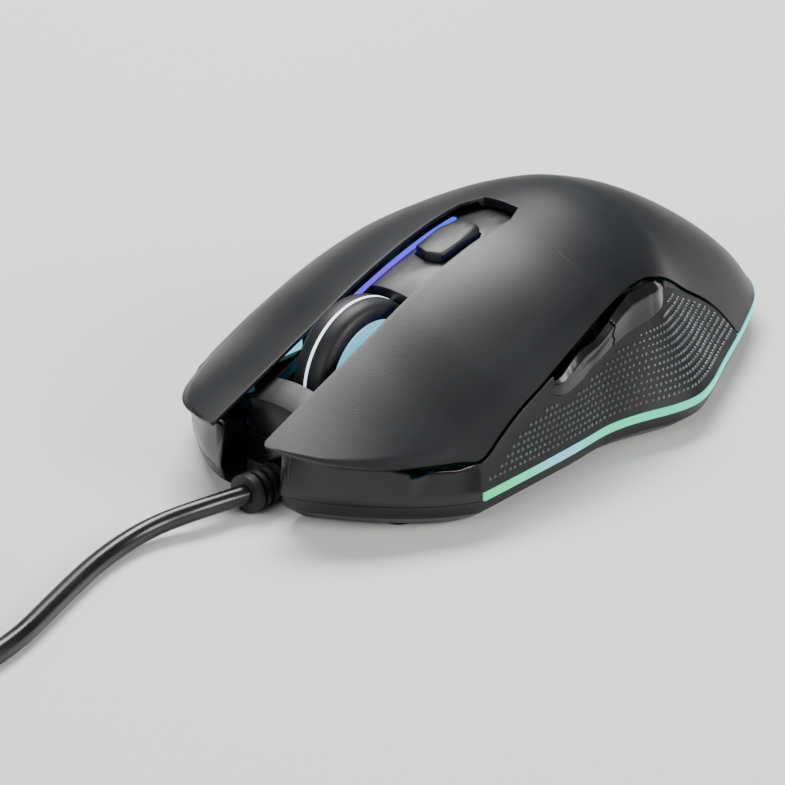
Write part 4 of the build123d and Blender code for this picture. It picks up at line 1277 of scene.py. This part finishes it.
# %% [markdown]
# ## The scroll wheel
#
# The tyre is moulded rubber on a clear hub. Both are turned shapes, so each is the spin of one profile
# round the axle. A thin lit ring sits in a groove of the tyre. The hub is dished, so its web lies in
# shade and its rim catches the light of the lamps below.

# %% Wheel
WHEEL_Y, WHEEL_Z = -34.3, 15.6
TYRE_HALF_PROFILE = [(0.3, 11.7), (0.3, 12.5), (0.4, 12.55), (1.2, 12.53), (2.0, 12.42), (2.6, 12.2),
                     (3.05, 11.8), (3.3, 11.3), (3.4, 10.7), (3.4, 9.9), (3.25, 9.62)]
RING_HALF_PROFILE = [(0.16, 12.6), (0.28, 12.5), (0.28, 11.72)]
HUB_HALF_PROFILE = [(3.15, 9.58), (3.3, 9.4), (3.3, 8.5), (3.1, 8.2), (1.9, 7.7), (1.4, 7.2), (1.3, 4.4),
                    (1.6, 3.6), (2.8, 3.2), (3.0, 2.9), (3.0, 1.52)]
WHEEL_STEPS = 96


def turned(name, half_profile):
    """Spin a profile, given for one side as (across, radius), round the wheel's axle."""
    profile = [(-across, radius) for across, radius in half_profile][::-1] + half_profile
    points = [(across * MM, WHEEL_Y * MM, (WHEEL_Z + radius) * MM) for across, radius in profile]
    ring = [(i, (i + 1) % len(points)) for i in range(len(points))]
    piece = mesh_piece(name, points, ring, [])
    in_edit_mode(piece, "EDGE", lambda edge: True)
    axle = (0, WHEEL_Y * MM, WHEEL_Z * MM)
    bpy.ops.mesh.spin(steps=WHEEL_STEPS, angle=2 * pi, center=axle, axis=(1, 0, 0))
    bpy.ops.mesh.select_all(action="SELECT")
    bpy.ops.mesh.remove_doubles(threshold=0.002 * MM)
    bpy.ops.mesh.normals_make_consistent(inside=False)
    leave_edit_mode()
    right_side_out(piece)
    smooth_shade(piece, 40)
    return piece


for name, profile, material, slot, node in (
        ("tyre", TYRE_HALF_PROFILE, tyre_rubber, "wheel_rubber", "wheel_tyre"),
        ("lit_ring", RING_HALF_PROFILE, ring_light, "ring_diffuser", "wheel_light_ring"),
        ("clear_hub", HUB_HALF_PROFILE, hub_light, "hub_diffuser", "wheel_hub")):
    finished(turned(name, profile), "scroll_wheel", material, slot, node)

# %% [markdown]
# ## Small mouldings with soft edges
#
# No moulded edge is perfectly sharp. The console, the resolution button and the tray have the right shape
# already, so a merged copy of each gets a fine rounding that catches the light.


# %% Rounded copies
for node, name, body, material, slot, width in (
        ("centre_console", "channel_floor", "housing", satin, "console_plastic", 0.15),
        ("dpi_button", "resolution_button", "dpi_button", satin, "gloss_plastic", 0.3),
        ("base_tray", "tray", "housing", satin, "panel_plastic", 0.12)):
    finished(softened(node, name, width), body, material, slot, node)
